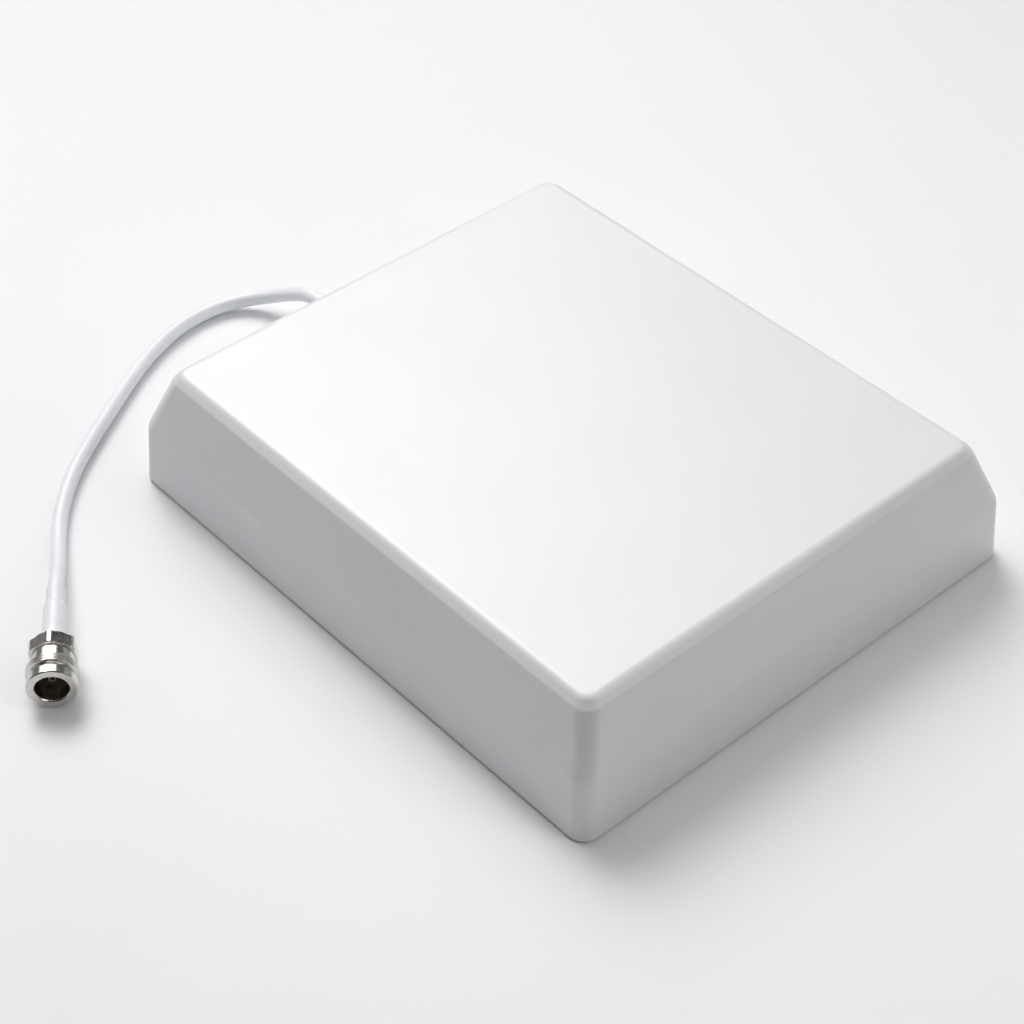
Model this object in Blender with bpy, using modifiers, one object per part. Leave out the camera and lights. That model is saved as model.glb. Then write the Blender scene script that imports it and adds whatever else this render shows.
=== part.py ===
"""Indoor wall panel antenna of a cellular signal booster kit, as an assembly of its separate pieces.

Metres, +Z up. The antenna lies on its flat back: the back plate is on z = 0, the radome's face looks up,
+X runs along the long side and the coax pigtail leaves the short side at -X.
"""

import math

import bmesh
import bpy
from mathutils import Vector

# Radome, the moulded front cover: size at its rim, then its side profile.
LENGTH = 0.210
WIDTH = 0.180
HEIGHT = 0.044
RIM_GAP = 0.0006
KINK_Z = 0.0225
KINK_INSET = 0.0014
KINK_RADIUS = 0.010
EDGE_Z = 0.0412
EDGE_RADIUS = 0.0025
TOP_INSET = 0.0093
FACE_INSET = 0.0110
TOP_RADIUS = 0.004
CORNER_RADIUS = 0.0057
WALL = 0.0027
ROOF = 0.0025
RIM_CHAMFER = 0.0003
INNER_CORNER_RADIUS = 0.003
INNER_ROLL_RADIUS = 0.004

# Ledge inside the rim that presses on the gasket.
LEDGE_INSET = 0.0062
LEDGE_LOW = 0.0044
LEDGE_HIGH = 0.0060
LEDGE_SLOPE_TOP = 0.0080

GAP = 0.0003

# Back plate with its wall-screw keyholes, and the screws that close the case.
PLATE_THICKNESS = 0.0022
PLATE_INSET = 0.0030
PLATE_RADIUS = 0.0030
CASE_SCREW_X = 0.094
CASE_SCREW_Y = 0.079
BOSS_RADIUS = 0.0042
BOSS_HIGH = 0.020
WEB_THICKNESS = 0.002
WEB_LOW = 0.0062
WEB_HIGH = 0.018
PILOT_RADIUS = 0.00175
PILOT_HIGH = 0.014
SCREW_RADIUS = 0.00145
CASE_SCREW_TIP = 0.0120
COUNTERSINK_RADIUS = 0.0031
KEYHOLE_X = 0.055
KEYHOLE_Y = 0.050
KEYHOLE_HEAD_RADIUS = 0.0045
KEYHOLE_SLOT_RADIUS = 0.0023
KEYHOLE_TRAVEL = 0.009

# Reflector tray on the back plate's four pillars.
TRAY_LOW = 0.0070
TRAY_THICKNESS = 0.0010
TRAY_HALF_X = 0.086
TRAY_HALF_Y = 0.072
TRAY_FLANGE_HIGH = 0.0150
TRAY_HEAD_RADIUS = 0.0028
TRAY_HEAD_HEIGHT = 0.0018
PILLAR_X = 0.070
PILLAR_Y = 0.058
PILLAR_RADIUS = 0.0036

# Radiating plates, stacked over the tray on four nylon screws.
STACK_X = 0.035
STACK_Y = 0.030
DRIVEN_LOW = 0.022
DRIVEN_HALF_X = 0.059
DRIVEN_HALF_Y = 0.046
DRIVEN_CUT = 0.014
SLOT_HALF_X = 0.022
SLOT_HALF_Y = 0.0015
SLOT_Y = 0.016
DIRECTOR_LOW = 0.033
DIRECTOR_HALF_X = 0.045
DIRECTOR_HALF_Y = 0.038
DIRECTOR_CUT = 0.004
SHEET = 0.001
SHEET_CORNER = 0.001
STACK_HOLE_RADIUS = 0.0019
SPACER_RADIUS = 0.0035
SPACER_BORE = 0.0018
STACK_HEAD_RADIUS = 0.0029
STACK_HEAD_HEIGHT = 0.0020
STACK_SCREW_TIP = 0.0042
NUT_ACROSS_FLATS = 0.0055
NUT_LOW = 0.0044
NUT_HEIGHT = 0.0023

# Coax, from the feed point inside to the exit, and what holds it.
EXIT_Z = 0.014
JACKET_RADIUS = 0.0025
BRAID_RADIUS = 0.0018
DIELECTRIC_RADIUS = 0.0015
CORE_RADIUS = 0.00045
JACKET_END_X = -0.042
BRAID_END_X = -0.033
DIELECTRIC_END_X = -0.027
CORE_END_X = -0.0243
SADDLE_X = -0.065
SADDLE_LENGTH = 0.010
SADDLE_HALF_WIDTH = 0.013
SADDLE_FOOT = 0.002
SADDLE_RADIUS = 0.0052
SADDLE_BORE = 0.0029
SADDLE_SCREW_Y = 0.0095
SADDLE_SCREW_TIP = 0.0045
SADDLE_HEAD_RADIUS = 0.0026
SADDLE_HEAD_HEIGHT = 0.0016
GROUND_CLAMP_X = -0.0375
GROUND_CLAMP_LENGTH = 0.006
GROUND_CLAMP_HALF_WIDTH = 0.004
GROUND_CLAMP_HIGH = 0.0175
GROUND_CLAMP_BORE = 0.0021
FEED_THICKNESS = 0.0006
FEED_WIDTH = 0.006
FEED_LOW = 0.0115
FEED_TAB = 0.006

# Strain relief boot in the radome's -X wall. Its distances run outwards from the wall's outer plane.
BOOT_HOLE_RADIUS = 0.0046
BOOT_NECK_RADIUS = 0.0043
BOOT_FLANGE_RADIUS = 0.0058
BOOT_INNER_END = -0.0061
BOOT_INNER_FLANGE = -0.0041
BOOT_COLLAR_FOOT = -0.0001
BOOT_COLLAR = 0.0018
BOOT_TIP = 0.0185
BOOT_ROOT_RADIUS = 0.0042
BOOT_TIP_RADIUS = 0.0031

# The free pigtail: its route, from the boot's tip over the floor to the heat-shrink sleeve.
CABLE_ROUTE = [
    (-0.1238, 0.0000, 0.0140),
    (-0.1320, -0.0005, 0.0127),
    (-0.1397, -0.0023, 0.0095),
    (-0.1467, -0.0057, 0.0063),
    (-0.1528, -0.0110, 0.0041),
    (-0.1570, -0.0183, 0.0030),
    (-0.1584, -0.0267, 0.0026),
    (-0.1578, -0.0351, 0.0026),
    (-0.1557, -0.0433, 0.0026),
    (-0.1527, -0.0512, 0.0026),
    (-0.1491, -0.0589, 0.0026),
    (-0.1450, -0.0664, 0.0026),
    (-0.1406, -0.0737, 0.0026),
    (-0.1361, -0.0809, 0.0026),
    (-0.1316, -0.0881, 0.0026),
    (-0.1270, -0.0952, 0.0026),
    (-0.1222, -0.1022, 0.0026),
    (-0.1170, -0.1089, 0.0026),
    (-0.1113, -0.1151, 0.0026),
    (-0.1051, -0.1210, 0.0027),
    (-0.0985, -0.1263, 0.0030),
    (-0.0918, -0.1309, 0.0037),
    (-0.0849, -0.1354, 0.0050),
    (-0.0781, -0.1400, 0.0068),
    (-0.07125, -0.14486, 0.00795),
]
CABLE_POINTS = 40

# N-type jack: the middle of its open end, the way it faces, and distances back from that end.
CONNECTOR_FRONT = Vector((-0.0373, -0.1689, 0.00795))
CONNECTOR_AXIS = Vector((0.816, -0.578, 0.0)).normalized()
THREAD_RADIUS = 0.0079
THREAD_ROOT_RADIUS = 0.0071
THREAD_PITCH = 0.0254 / 24
THREAD_START = 0.0040
THREAD_TURNS = 4
LIP_RADIUS = 0.0076
LIP_LENGTH = 0.0030
GROOVE_RADIUS = 0.0068
BARREL_RADIUS = 0.0065
MOUTH_RADIUS = 0.0051
BORE_RADIUS = 0.0049
BORE_DEPTH = 0.0123
REAR_BORE_RADIUS = 0.0019
HEX_START = 0.0128
HEX_END = 0.0174
HEX_ACROSS_FLATS = 0.0137
SPIGOT_RADIUS = 0.0026
SPIGOT_END = 0.0230
INSULATOR_FRONT = 0.0092
INSULATOR_RADIUS = 0.0046
CONTACT_TIP = 0.0042
CONTACT_RADIUS = 0.0012
CONTACT_BORE = 0.0008
CONTACT_BORE_DEPTH = 0.0040
CONTACT_TAIL = 0.0163
STUB_START = 0.0166
STUB_SHOULDER = 0.0236
FERRULE_END = 0.0300
FERRULE_INNER_RADIUS = 0.00285
FERRULE_RADIUS = 0.00315
SLEEVE_STEP = 0.0342
SLEEVE_END = 0.0413
SLEEVE_WALL = 0.0003
SLEEVE_RADIUS = 0.0036
SLEEVE_TAIL_RADIUS = 0.00295

OBJECT_NAME = "panel_antenna"


def clear_scene():
    for obj in list(bpy.data.objects):
        bpy.data.objects.remove(obj)


def new_collection(name):
    collection = bpy.data.collections.new(name)
    bpy.context.scene.collection.children.link(collection)
    return collection


clear_scene()
PARTS = new_collection(OBJECT_NAME)
CUTTERS = new_collection("cutters")


def new_material(name, colour, roughness, metallic=0.0):
    material = bpy.data.materials.new(name)
    material.use_nodes = True
    shader = material.node_tree.nodes["Principled BSDF"]
    shader.inputs["Base Color"].default_value = (*colour, 1.0)
    shader.inputs["Roughness"].default_value = roughness
    shader.inputs["Metallic"].default_value = metallic
    return material


COVER_WHITE = new_material("cover_white", (0.86, 0.87, 0.88), 0.45)
BASE_WHITE = new_material("base_white", (0.78, 0.79, 0.80), 0.50)
FOAM_GREY = new_material("foam_grey", (0.10, 0.10, 0.10), 0.90)
SCREW_STEEL = new_material("screw_steel", (0.55, 0.55, 0.56), 0.35, 1.0)
ALUMINIUM = new_material("aluminium", (0.80, 0.81, 0.82), 0.35, 1.0)
BRASS = new_material("brass", (0.80, 0.62, 0.30), 0.30, 1.0)
COPPER = new_material("copper", (0.78, 0.44, 0.30), 0.30, 1.0)
NYLON = new_material("nylon", (0.82, 0.80, 0.74), 0.50)
PTFE = new_material("ptfe", (0.90, 0.90, 0.90), 0.40)
PEI = new_material("pei", (0.16, 0.11, 0.06), 0.30)
CABLE_WHITE = new_material("cable_white", (0.84, 0.85, 0.86), 0.40)
NICKEL = new_material("nickel", (0.62, 0.60, 0.57), 0.20, 1.0)


def shade(mesh, material):
    """Gives a mesh its material, smooth round faces and sharp edges."""
    mesh.materials.append(material)
    mesh.shade_smooth()
    mesh.set_sharp_from_angle(angle=math.radians(35))


def place(name, mesh, material, collection=None):
    shade(mesh, material)
    obj = bpy.data.objects.new(name, mesh)
    (collection or PARTS).objects.link(obj)
    return obj


def as_cutter(obj):
    """Moves a helper out of the parts: it cuts or joins another object, and is no piece itself."""
    PARTS.objects.unlink(obj)
    CUTTERS.objects.link(obj)
    obj.hide_render = True
    obj.display_type = "WIRE"
    return obj


def combine(obj, helper, operation):
    modifier = obj.modifiers.new(operation.lower() + "_" + helper.name, "BOOLEAN")
    modifier.operation = operation
    modifier.solver = "EXACT"
    modifier.object = as_cutter(helper)


def box(name, low, high, material):
    mesh = bpy.data.meshes.new(name)
    shape = bmesh.new()
    bmesh.ops.create_cube(shape, size=1.0)
    size = Vector(high) - Vector(low)
    bmesh.ops.scale(shape, vec=size, verts=shape.verts)
    shape.to_mesh(mesh)
    shape.free()
    obj = place(name, mesh, material)
    obj.location = (Vector(high) + Vector(low)) / 2
    return obj


def prism(name, radius, low, high, sides, material):
    """A cylinder, or a prism of few sides, standing on Z."""
    mesh = bpy.data.meshes.new(name)
    shape = bmesh.new()
    bmesh.ops.create_cone(
        shape, cap_ends=True, segments=sides, radius1=radius, radius2=radius, depth=high - low
    )
    shape.to_mesh(mesh)
    shape.free()
    obj = place(name, mesh, material)
    obj.location.z = (low + high) / 2
    return obj


def turned(name, profile, material, steps=24, closed=False):
    """A turned piece. The profile of (radius, z) runs down the outside, and a closed one returns up the bore."""
    mesh = bpy.data.meshes.new(name)
    edges = [(i, i + 1) for i in range(len(profile) - 1)]
    if closed:
        edges.append((len(profile) - 1, 0))
    mesh.from_pydata([(radius, 0.0, z) for radius, z in profile], edges, [])
    mesh.materials.append(material)
    obj = bpy.data.objects.new(name, mesh)
    PARTS.objects.link(obj)
    screw = obj.modifiers.new("turn", "SCREW")
    screw.steps = steps
    screw.render_steps = steps
    screw.use_merge_vertices = True
    screw.merge_threshold = 0.00001
    screw.use_smooth_shade = True
    return obj


def point_along(obj, axis, start):
    """Turns a piece made along Z so that its +Z runs along axis from start."""
    obj.rotation_mode = "QUATERNION"
    obj.rotation_quaternion = Vector(axis).to_track_quat("Z", "Y")
    obj.location = start
    return obj


def rounded_rectangle(half_x, half_y, radius, steps):
    """Anticlockwise points of a rectangle whose corners are arcs of that many steps."""
    points = []
    for quarter, (sign_x, sign_y) in enumerate([(1, 1), (-1, 1), (-1, -1), (1, -1)]):
        centre_x = sign_x * (half_x - radius)
        centre_y = sign_y * (half_y - radius)
        for step in range(steps + 1):
            angle = math.pi / 2 * (quarter + step / steps)
            points.append((centre_x + radius * math.cos(angle), centre_y + radius * math.sin(angle)))
    return points


def circle(x, y, radius, steps=16):
    angles = [2 * math.pi * step / steps for step in range(steps)]
    return [(x + radius * math.cos(a), y + radius * math.sin(a)) for a in angles]


def keyhole(x, y, steps=12):
    """A keyhole: the screw head enters at (x, y), and the slot runs to +X."""
    half_mouth = math.asin(KEYHOLE_SLOT_RADIUS / KEYHOLE_HEAD_RADIUS)
    points = []
    for step in range(steps + 1):
        angle = half_mouth + (2 * math.pi - 2 * half_mouth) * step / steps
        far_x, far_y = KEYHOLE_HEAD_RADIUS * math.cos(angle), KEYHOLE_HEAD_RADIUS * math.sin(angle)
        points.append((x + far_x, y + far_y))
    for step in range(steps // 2 + 1):
        angle = math.pi * (step / (steps // 2) - 0.5)
        slot_x = x + KEYHOLE_TRAVEL + KEYHOLE_SLOT_RADIUS * math.cos(angle)
        points.append((slot_x, y + KEYHOLE_SLOT_RADIUS * math.sin(angle)))
    return points


def filleted(points, radii, steps):
    """An open outline whose inner corners become arcs of the given radii."""
    result = [points[0]]
    for before, corner, after, radius in zip(points, points[1:], points[2:], radii):
        here = Vector(corner)
        back = (Vector(before) - here).normalized()
        ahead = (Vector(after) - here).normalized()
        half_angle = back.angle(ahead) / 2
        centre = here + (back + ahead).normalized() * (radius / math.sin(half_angle))
        first = here + back * (radius / math.tan(half_angle)) - centre
        last = here + ahead * (radius / math.tan(half_angle)) - centre
        for step in range(steps + 1):
            spoke = first.lerp(last, step / steps).normalized() * radius
            result.append(tuple(centre + spoke))
    result.append(points[-1])
    return result


def loft(name, rings, material, steps):
    """A solid skinned over rounded rectangles of (half_x, half_y, radius, z), capped by its end ones."""
    mesh = bpy.data.meshes.new(name)
    shape = bmesh.new()
    loops = []
    for half_x, half_y, radius, z in rings:
        outline = rounded_rectangle(half_x, half_y, radius, steps)
        loops.append([shape.verts.new((x, y, z)) for x, y in outline])
    for lower, upper in zip(loops, loops[1:]):
        for i in range(len(lower)):
            following = (i + 1) % len(lower)
            shape.faces.new((lower[i], lower[following], upper[following], upper[i]))
    shape.faces.new(loops[0])
    shape.faces.new(loops[-1])
    bmesh.ops.recalc_face_normals(shape, faces=shape.faces)
    shape.to_mesh(mesh)
    shape.free()
    return place(name, mesh, material)


def outline_plate(name, outlines, low, thickness, material):
    """A flat plate of one outline with holes, as a filled 2D curve that is made a welded mesh."""
    curve = bpy.data.curves.new(name, "CURVE")
    curve.dimensions = "2D"
    curve.fill_mode = "BOTH"
    curve.extrude = thickness / 2
    for points in outlines:
        spline = curve.splines.new("POLY")
        spline.points.add(len(points) - 1)
        for point, (x, y) in zip(spline.points, points):
            point.co = (x, y, 0.0, 1.0)
        spline.use_cyclic_u = True
    guide = bpy.data.objects.new(name + "_guide", curve)
    PARTS.objects.link(guide)
    guide.location.z = low + thickness / 2
    bpy.context.view_layer.update()
    depsgraph = bpy.context.evaluated_depsgraph_get()
    mesh = bpy.data.meshes.new_from_object(guide.evaluated_get(depsgraph))
    shape = bmesh.new()
    shape.from_mesh(mesh)
    bmesh.ops.remove_doubles(shape, verts=shape.verts, dist=0.000001)
    bmesh.ops.recalc_face_normals(shape, faces=shape.faces)
    shape.to_mesh(mesh)
    shape.free()
    mesh.materials.clear()
    mesh.name = name
    obj = place(name, mesh, material)
    obj.matrix_world = guide.matrix_world.copy()
    bpy.data.objects.remove(guide)
    return obj


def copies(obj, places):
    """Numbers a piece _1, _2 and so on, one at each (x, y), all sharing its mesh and modifiers."""
    base = obj.name
    for number, (x, y) in enumerate(places, start=1):
        copy = obj if number == 1 else obj.copy()
        copy.name = f"{base}_{number}"
        copy.location.x = x
        copy.location.y = y
        if number > 1:
            PARTS.objects.link(copy)


def four_corners(x, y):
    return [(sign_x * x, sign_y * y) for sign_x, sign_y in ((-1, -1), (1, -1), (1, 1), (-1, 1))]


CASE_SCREWS = four_corners(CASE_SCREW_X, CASE_SCREW_Y) + [(0.0, -CASE_SCREW_Y), (0.0, CASE_SCREW_Y)]


def corner_radius(inset):
    """The radome's corner radius in plan: constant up its walls, then running out over the bevel."""
    return CORNER_RADIUS - max(0.0, inset - TOP_INSET)


def radome_rings():
    """From the inside of the roof down the inner wall, round the rim, and up the outside to the face."""
    roof_z = HEIGHT - ROOF
    slope = (TOP_INSET - KINK_INSET) / (HEIGHT - KINK_Z)
    roof_inset = KINK_INSET + WALL + slope * (roof_z - KINK_Z)
    inside = [
        (roof_inset + 2 * INNER_ROLL_RADIUS, roof_z),
        (roof_inset, roof_z),
        (KINK_INSET + WALL, KINK_Z),
        (KINK_INSET / 2 + WALL, LEDGE_SLOPE_TOP),
    ]
    inside = filleted(inside, [INNER_ROLL_RADIUS, KINK_RADIUS], 2)
    inside += [(LEDGE_INSET, LEDGE_HIGH), (LEDGE_INSET, LEDGE_LOW), (WALL, LEDGE_LOW), (WALL, RIM_GAP)]
    outside = [
        (0.0, RIM_GAP + RIM_CHAMFER),
        (KINK_INSET, KINK_Z),
        (KINK_INSET + slope * (EDGE_Z - KINK_Z), EDGE_Z),
        (FACE_INSET, HEIGHT),
        (FACE_INSET + TOP_RADIUS, HEIGHT),
    ]
    outside = filleted(outside, [KINK_RADIUS, EDGE_RADIUS, TOP_RADIUS], 4)[:-1]
    outside.insert(0, (RIM_CHAMFER, RIM_GAP))
    rings = [(LENGTH / 2 - i, WIDTH / 2 - i, INNER_CORNER_RADIUS, z) for i, z in inside]
    return rings + [(LENGTH / 2 - i, WIDTH / 2 - i, corner_radius(i), z) for i, z in outside]


def make_radome():
    radome = loft("radome", radome_rings(), COVER_WHITE, steps=4)
    for number, (x, y) in enumerate(CASE_SCREWS, start=1):
        boss = prism(f"boss_{number}", BOSS_RADIUS, PLATE_THICKNESS + GAP, BOSS_HIGH, 16, COVER_WHITE)
        boss.location.x = x
        boss.location.y = y
        side_y = math.copysign(1, y)
        reach_y = side_y * (WIDTH / 2 - WALL)
        low_y, high_y = sorted((y, reach_y))
        half = WEB_THICKNESS / 2
        web = box(f"web_y_{number}", (x - half, low_y, WEB_LOW), (x + half, high_y, WEB_HIGH), COVER_WHITE)
        combine(radome, boss, "UNION")
        combine(radome, web, "UNION")
        if x:
            low_x, high_x = sorted((x, math.copysign(LENGTH / 2 - WALL, x)))
            low, high = (low_x, y - half, WEB_LOW), (high_x, y + half, WEB_HIGH)
            web = box(f"web_x_{number}", low, high, COVER_WHITE)
            combine(radome, web, "UNION")
    for number, (x, y) in enumerate(CASE_SCREWS, start=1):
        pilot = prism(f"pilot_{number}", PILOT_RADIUS, 0.0, PILOT_HIGH, 12, COVER_WHITE)
        pilot.location.x = x
        pilot.location.y = y
        combine(radome, pilot, "DIFFERENCE")
    cable_hole = prism("cable_hole", BOOT_HOLE_RADIUS, -0.010, 0.010, 24, COVER_WHITE)
    point_along(cable_hole, (-1, 0, 0), (-LENGTH / 2, 0, EXIT_Z))
    combine(radome, cable_hole, "DIFFERENCE")


def make_back_plate():
    edge = rounded_rectangle(LENGTH / 2 - PLATE_INSET, WIDTH / 2 - PLATE_INSET, PLATE_RADIUS, 4)
    keyholes = [keyhole(KEYHOLE_X, -KEYHOLE_Y), keyhole(KEYHOLE_X, KEYHOLE_Y)]
    plate = outline_plate("back_plate", [edge] + keyholes, 0.0, PLATE_THICKNESS, BASE_WHITE)
    for number, (x, y) in enumerate(four_corners(PILLAR_X, PILLAR_Y), start=1):
        pillar = prism(f"pillar_{number}", PILLAR_RADIUS, PLATE_THICKNESS / 2, TRAY_LOW - GAP, 16, BASE_WHITE)
        pilot = prism(f"pillar_pilot_{number}", PILOT_RADIUS, PLATE_THICKNESS, TRAY_LOW + GAP, 12, BASE_WHITE)
        for helper, operation in ((pillar, "UNION"), (pilot, "DIFFERENCE")):
            helper.location.x = x
            helper.location.y = y
            combine(plate, helper, operation)
    flare = [
        (0.0, 2 * PLATE_THICKNESS),
        (PILOT_RADIUS, 2 * PLATE_THICKNESS),
        (PILOT_RADIUS, COUNTERSINK_RADIUS - PILOT_RADIUS),
        (COUNTERSINK_RADIUS, 0.0),
        (COUNTERSINK_RADIUS, -PLATE_THICKNESS),
        (0.0, -PLATE_THICKNESS),
    ]
    for number, (x, y) in enumerate(CASE_SCREWS, start=1):
        countersink = turned(f"countersink_{number}", flare, BASE_WHITE, steps=16)
        countersink.location = (x, y, 0.0)
        combine(plate, countersink, "DIFFERENCE")


def make_gasket():
    low = PLATE_THICKNESS + GAP
    outer_inset = PLATE_INSET
    inner_inset = LEDGE_INSET - GAP
    outer = rounded_rectangle(LENGTH / 2 - outer_inset, WIDTH / 2 - outer_inset, INNER_CORNER_RADIUS, 4)
    inner = rounded_rectangle(LENGTH / 2 - inner_inset, WIDTH / 2 - inner_inset, INNER_CORNER_RADIUS / 2, 4)
    outline_plate("perimeter_gasket", [outer, inner], low, LEDGE_LOW - GAP - low, FOAM_GREY)


def pan_screw(name, head_radius, head_height, seat, tip):
    """A screw with its head above seat and its shank down to tip."""
    profile = [
        (0.0, seat + head_height),
        (head_radius * 0.7, seat + head_height),
        (head_radius, seat + head_height * 0.5),
        (head_radius, seat),
        (SCREW_RADIUS, seat),
        (SCREW_RADIUS, tip + SCREW_RADIUS / 2),
        (SCREW_RADIUS / 2, tip),
        (0.0, tip),
    ]
    return turned(name, profile, SCREW_STEEL, steps=16)


def make_case_screws():
    """Countersunk screws, driven upwards from the wall side, just below flush in the back plate."""
    face = GAP / 2
    head_radius = COUNTERSINK_RADIUS - GAP
    profile = [
        (0.0, CASE_SCREW_TIP),
        (SCREW_RADIUS / 2, CASE_SCREW_TIP),
        (SCREW_RADIUS, CASE_SCREW_TIP - SCREW_RADIUS / 2),
        (SCREW_RADIUS, face + head_radius - SCREW_RADIUS),
        (head_radius, face),
        (0.0, face),
    ]
    copies(turned("case_screw", profile, SCREW_STEEL, steps=16), CASE_SCREWS)


def make_reflector_tray():
    edge = rounded_rectangle(TRAY_HALF_X, TRAY_HALF_Y, SHEET_CORNER, 2)
    screw_holes = [circle(x, y, STACK_HOLE_RADIUS, 12) for x, y in four_corners(PILLAR_X, PILLAR_Y)]
    stack_holes = [circle(x, y, STACK_HOLE_RADIUS, 12) for x, y in four_corners(STACK_X, STACK_Y)]
    saddle_holes = [circle(SADDLE_X, y, STACK_HOLE_RADIUS, 12) for y in (-SADDLE_SCREW_Y, SADDLE_SCREW_Y)]
    outlines = [edge] + screw_holes + stack_holes + saddle_holes
    tray = outline_plate("reflector_tray", outlines, TRAY_LOW, TRAY_THICKNESS, ALUMINIUM)
    for name, side in (("flange_low", -1), ("flange_high", 1)):
        near, far = sorted((side * (TRAY_HALF_Y - TRAY_THICKNESS), side * TRAY_HALF_Y))
        low = (-TRAY_HALF_X + TRAY_THICKNESS, near, TRAY_LOW + TRAY_THICKNESS / 2)
        flange = box(name, low, (TRAY_HALF_X - TRAY_THICKNESS, far, TRAY_FLANGE_HIGH), ALUMINIUM)
        flange.location.y -= side * GAP
        combine(tray, flange, "UNION")
    seat = TRAY_LOW + TRAY_THICKNESS + GAP
    screw = pan_screw("tray_screw", TRAY_HEAD_RADIUS, TRAY_HEAD_HEIGHT, seat, PLATE_THICKNESS + GAP)
    copies(screw, four_corners(PILLAR_X, PILLAR_Y))


def chamfered_rectangle(half_x, half_y, cut):
    corners = [
        (half_x, half_y - cut),
        (half_x - cut, half_y),
    ]
    mirrored = [(-x, y) for x, y in reversed(corners)]
    upper = corners + mirrored
    return upper + [(x, -y) for x, y in reversed(upper)]


def make_radiating_stack():
    """The driven plate with its two slots, and the smaller director over it, on four spacers each."""
    stack = four_corners(STACK_X, STACK_Y)
    holes = [circle(x, y, STACK_HOLE_RADIUS, 12) for x, y in stack]
    slot = rounded_rectangle(SLOT_HALF_X, SLOT_HALF_Y, SHEET_CORNER, 2)
    slots = [[(x, y + side * SLOT_Y) for x, y in slot] for side in (-1, 1)]
    driven = chamfered_rectangle(DRIVEN_HALF_X, DRIVEN_HALF_Y, DRIVEN_CUT)
    outline_plate("driven_plate", [driven] + slots + holes, DRIVEN_LOW, SHEET, BRASS)
    director = chamfered_rectangle(DIRECTOR_HALF_X, DIRECTOR_HALF_Y, DIRECTOR_CUT)
    outline_plate("director_plate", [director] + holes, DIRECTOR_LOW, SHEET, ALUMINIUM)

    levels = {
        "lower_spacer": (TRAY_LOW + TRAY_THICKNESS + GAP, DRIVEN_LOW - GAP),
        "upper_spacer": (DRIVEN_LOW + SHEET + GAP, DIRECTOR_LOW - GAP),
    }
    for name, (low, high) in levels.items():
        ring = [(SPACER_BORE, high), (SPACER_RADIUS, high), (SPACER_RADIUS, low), (SPACER_BORE, low)]
        copies(turned(name, ring, NYLON, steps=16, closed=True), stack)

    seat = DIRECTOR_LOW + SHEET + GAP
    screw = pan_screw("stack_screw", STACK_HEAD_RADIUS, STACK_HEAD_HEIGHT, seat, STACK_SCREW_TIP)
    screw.data.materials[0] = NYLON
    copies(screw, stack)
    for number, (x, y) in enumerate(stack, start=1):
        corner = NUT_ACROSS_FLATS / 2 / math.cos(math.pi / 6)
        nut = prism(f"stack_nut_{number}", corner, NUT_LOW, NUT_LOW + NUT_HEIGHT, 6, NYLON)
        bore = prism(f"nut_bore_{number}", SPACER_BORE, 0.0, TRAY_LOW, 12, NYLON)
        for obj in (nut, bore):
            obj.location.x = x
            obj.location.y = y
        combine(nut, bore, "DIFFERENCE")


def stand_up(obj, x_low, length):
    """Takes a plate drawn in XY, z from 0 to length, to stand in YZ with its thickness along X."""
    obj.rotation_euler = (math.pi / 2, 0.0, math.pi / 2)
    obj.location = (x_low + length / 2, 0.0, 0.0)
    return obj


def make_cable_saddle():
    """A nylon saddle that holds the coax down on the tray, drawn across the cable as (y, z)."""
    foot_low = TRAY_LOW + TRAY_THICKNESS + GAP
    foot_high = foot_low + SADDLE_FOOT
    side = [(SADDLE_HALF_WIDTH, foot_low), (SADDLE_HALF_WIDTH, foot_high), (SADDLE_RADIUS, foot_high)]
    angles = [math.pi * step / 12 for step in range(13)]
    arch = [(SADDLE_RADIUS * math.cos(a), EXIT_Z + SADDLE_RADIUS * math.sin(a)) for a in angles]
    outline = side + arch + [(-y, z) for y, z in reversed(side)]
    bore = circle(0.0, EXIT_Z, SADDLE_BORE, 16)
    saddle = outline_plate("cable_saddle", [outline, bore], 0.0, SADDLE_LENGTH, NYLON)
    stand_up(saddle, SADDLE_X - SADDLE_LENGTH / 2, SADDLE_LENGTH)
    screw_places = [(SADDLE_X, -SADDLE_SCREW_Y), (SADDLE_X, SADDLE_SCREW_Y)]
    for number, (x, y) in enumerate(screw_places, start=1):
        hole = prism(f"saddle_hole_{number}", PILOT_RADIUS, 0.0, EXIT_Z, 12, NYLON)
        hole.location.x = x
        hole.location.y = y
        combine(saddle, hole, "DIFFERENCE")
    seat = foot_high + GAP
    screw = pan_screw("saddle_screw", SADDLE_HEAD_RADIUS, SADDLE_HEAD_HEIGHT, seat, SADDLE_SCREW_TIP)
    copies(screw, screw_places)


def make_ground_clamp():
    """A brass block on the tray, soldered round the coax's braid."""
    low_x = GROUND_CLAMP_X - GROUND_CLAMP_LENGTH / 2
    foot = TRAY_LOW + TRAY_THICKNESS + GAP
    half = GROUND_CLAMP_HALF_WIDTH
    outline = [(-half, foot), (half, foot), (half, GROUND_CLAMP_HIGH), (-half, GROUND_CLAMP_HIGH)]
    bore = circle(0.0, EXIT_Z, GROUND_CLAMP_BORE, 16)
    clamp = outline_plate("ground_clamp", [outline, bore], 0.0, GROUND_CLAMP_LENGTH, BRASS)
    stand_up(clamp, low_x, GROUND_CLAMP_LENGTH)


def make_feed_strip():
    """A bent brass strip from the coax's core up to the driven plate's underside."""
    near = CORE_END_X + GAP
    top = DRIVEN_LOW - GAP
    half = FEED_WIDTH / 2
    strip = box("feed_strip", (near, -half, FEED_LOW), (near + FEED_THICKNESS, half, top), BRASS)
    tab_low = (near + FEED_THICKNESS / 2, -half + GAP, top - FEED_THICKNESS)
    tab = box("feed_tab", tab_low, (near + FEED_TAB, half - GAP, top - GAP / 3), BRASS)
    combine(strip, tab, "UNION")


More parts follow.
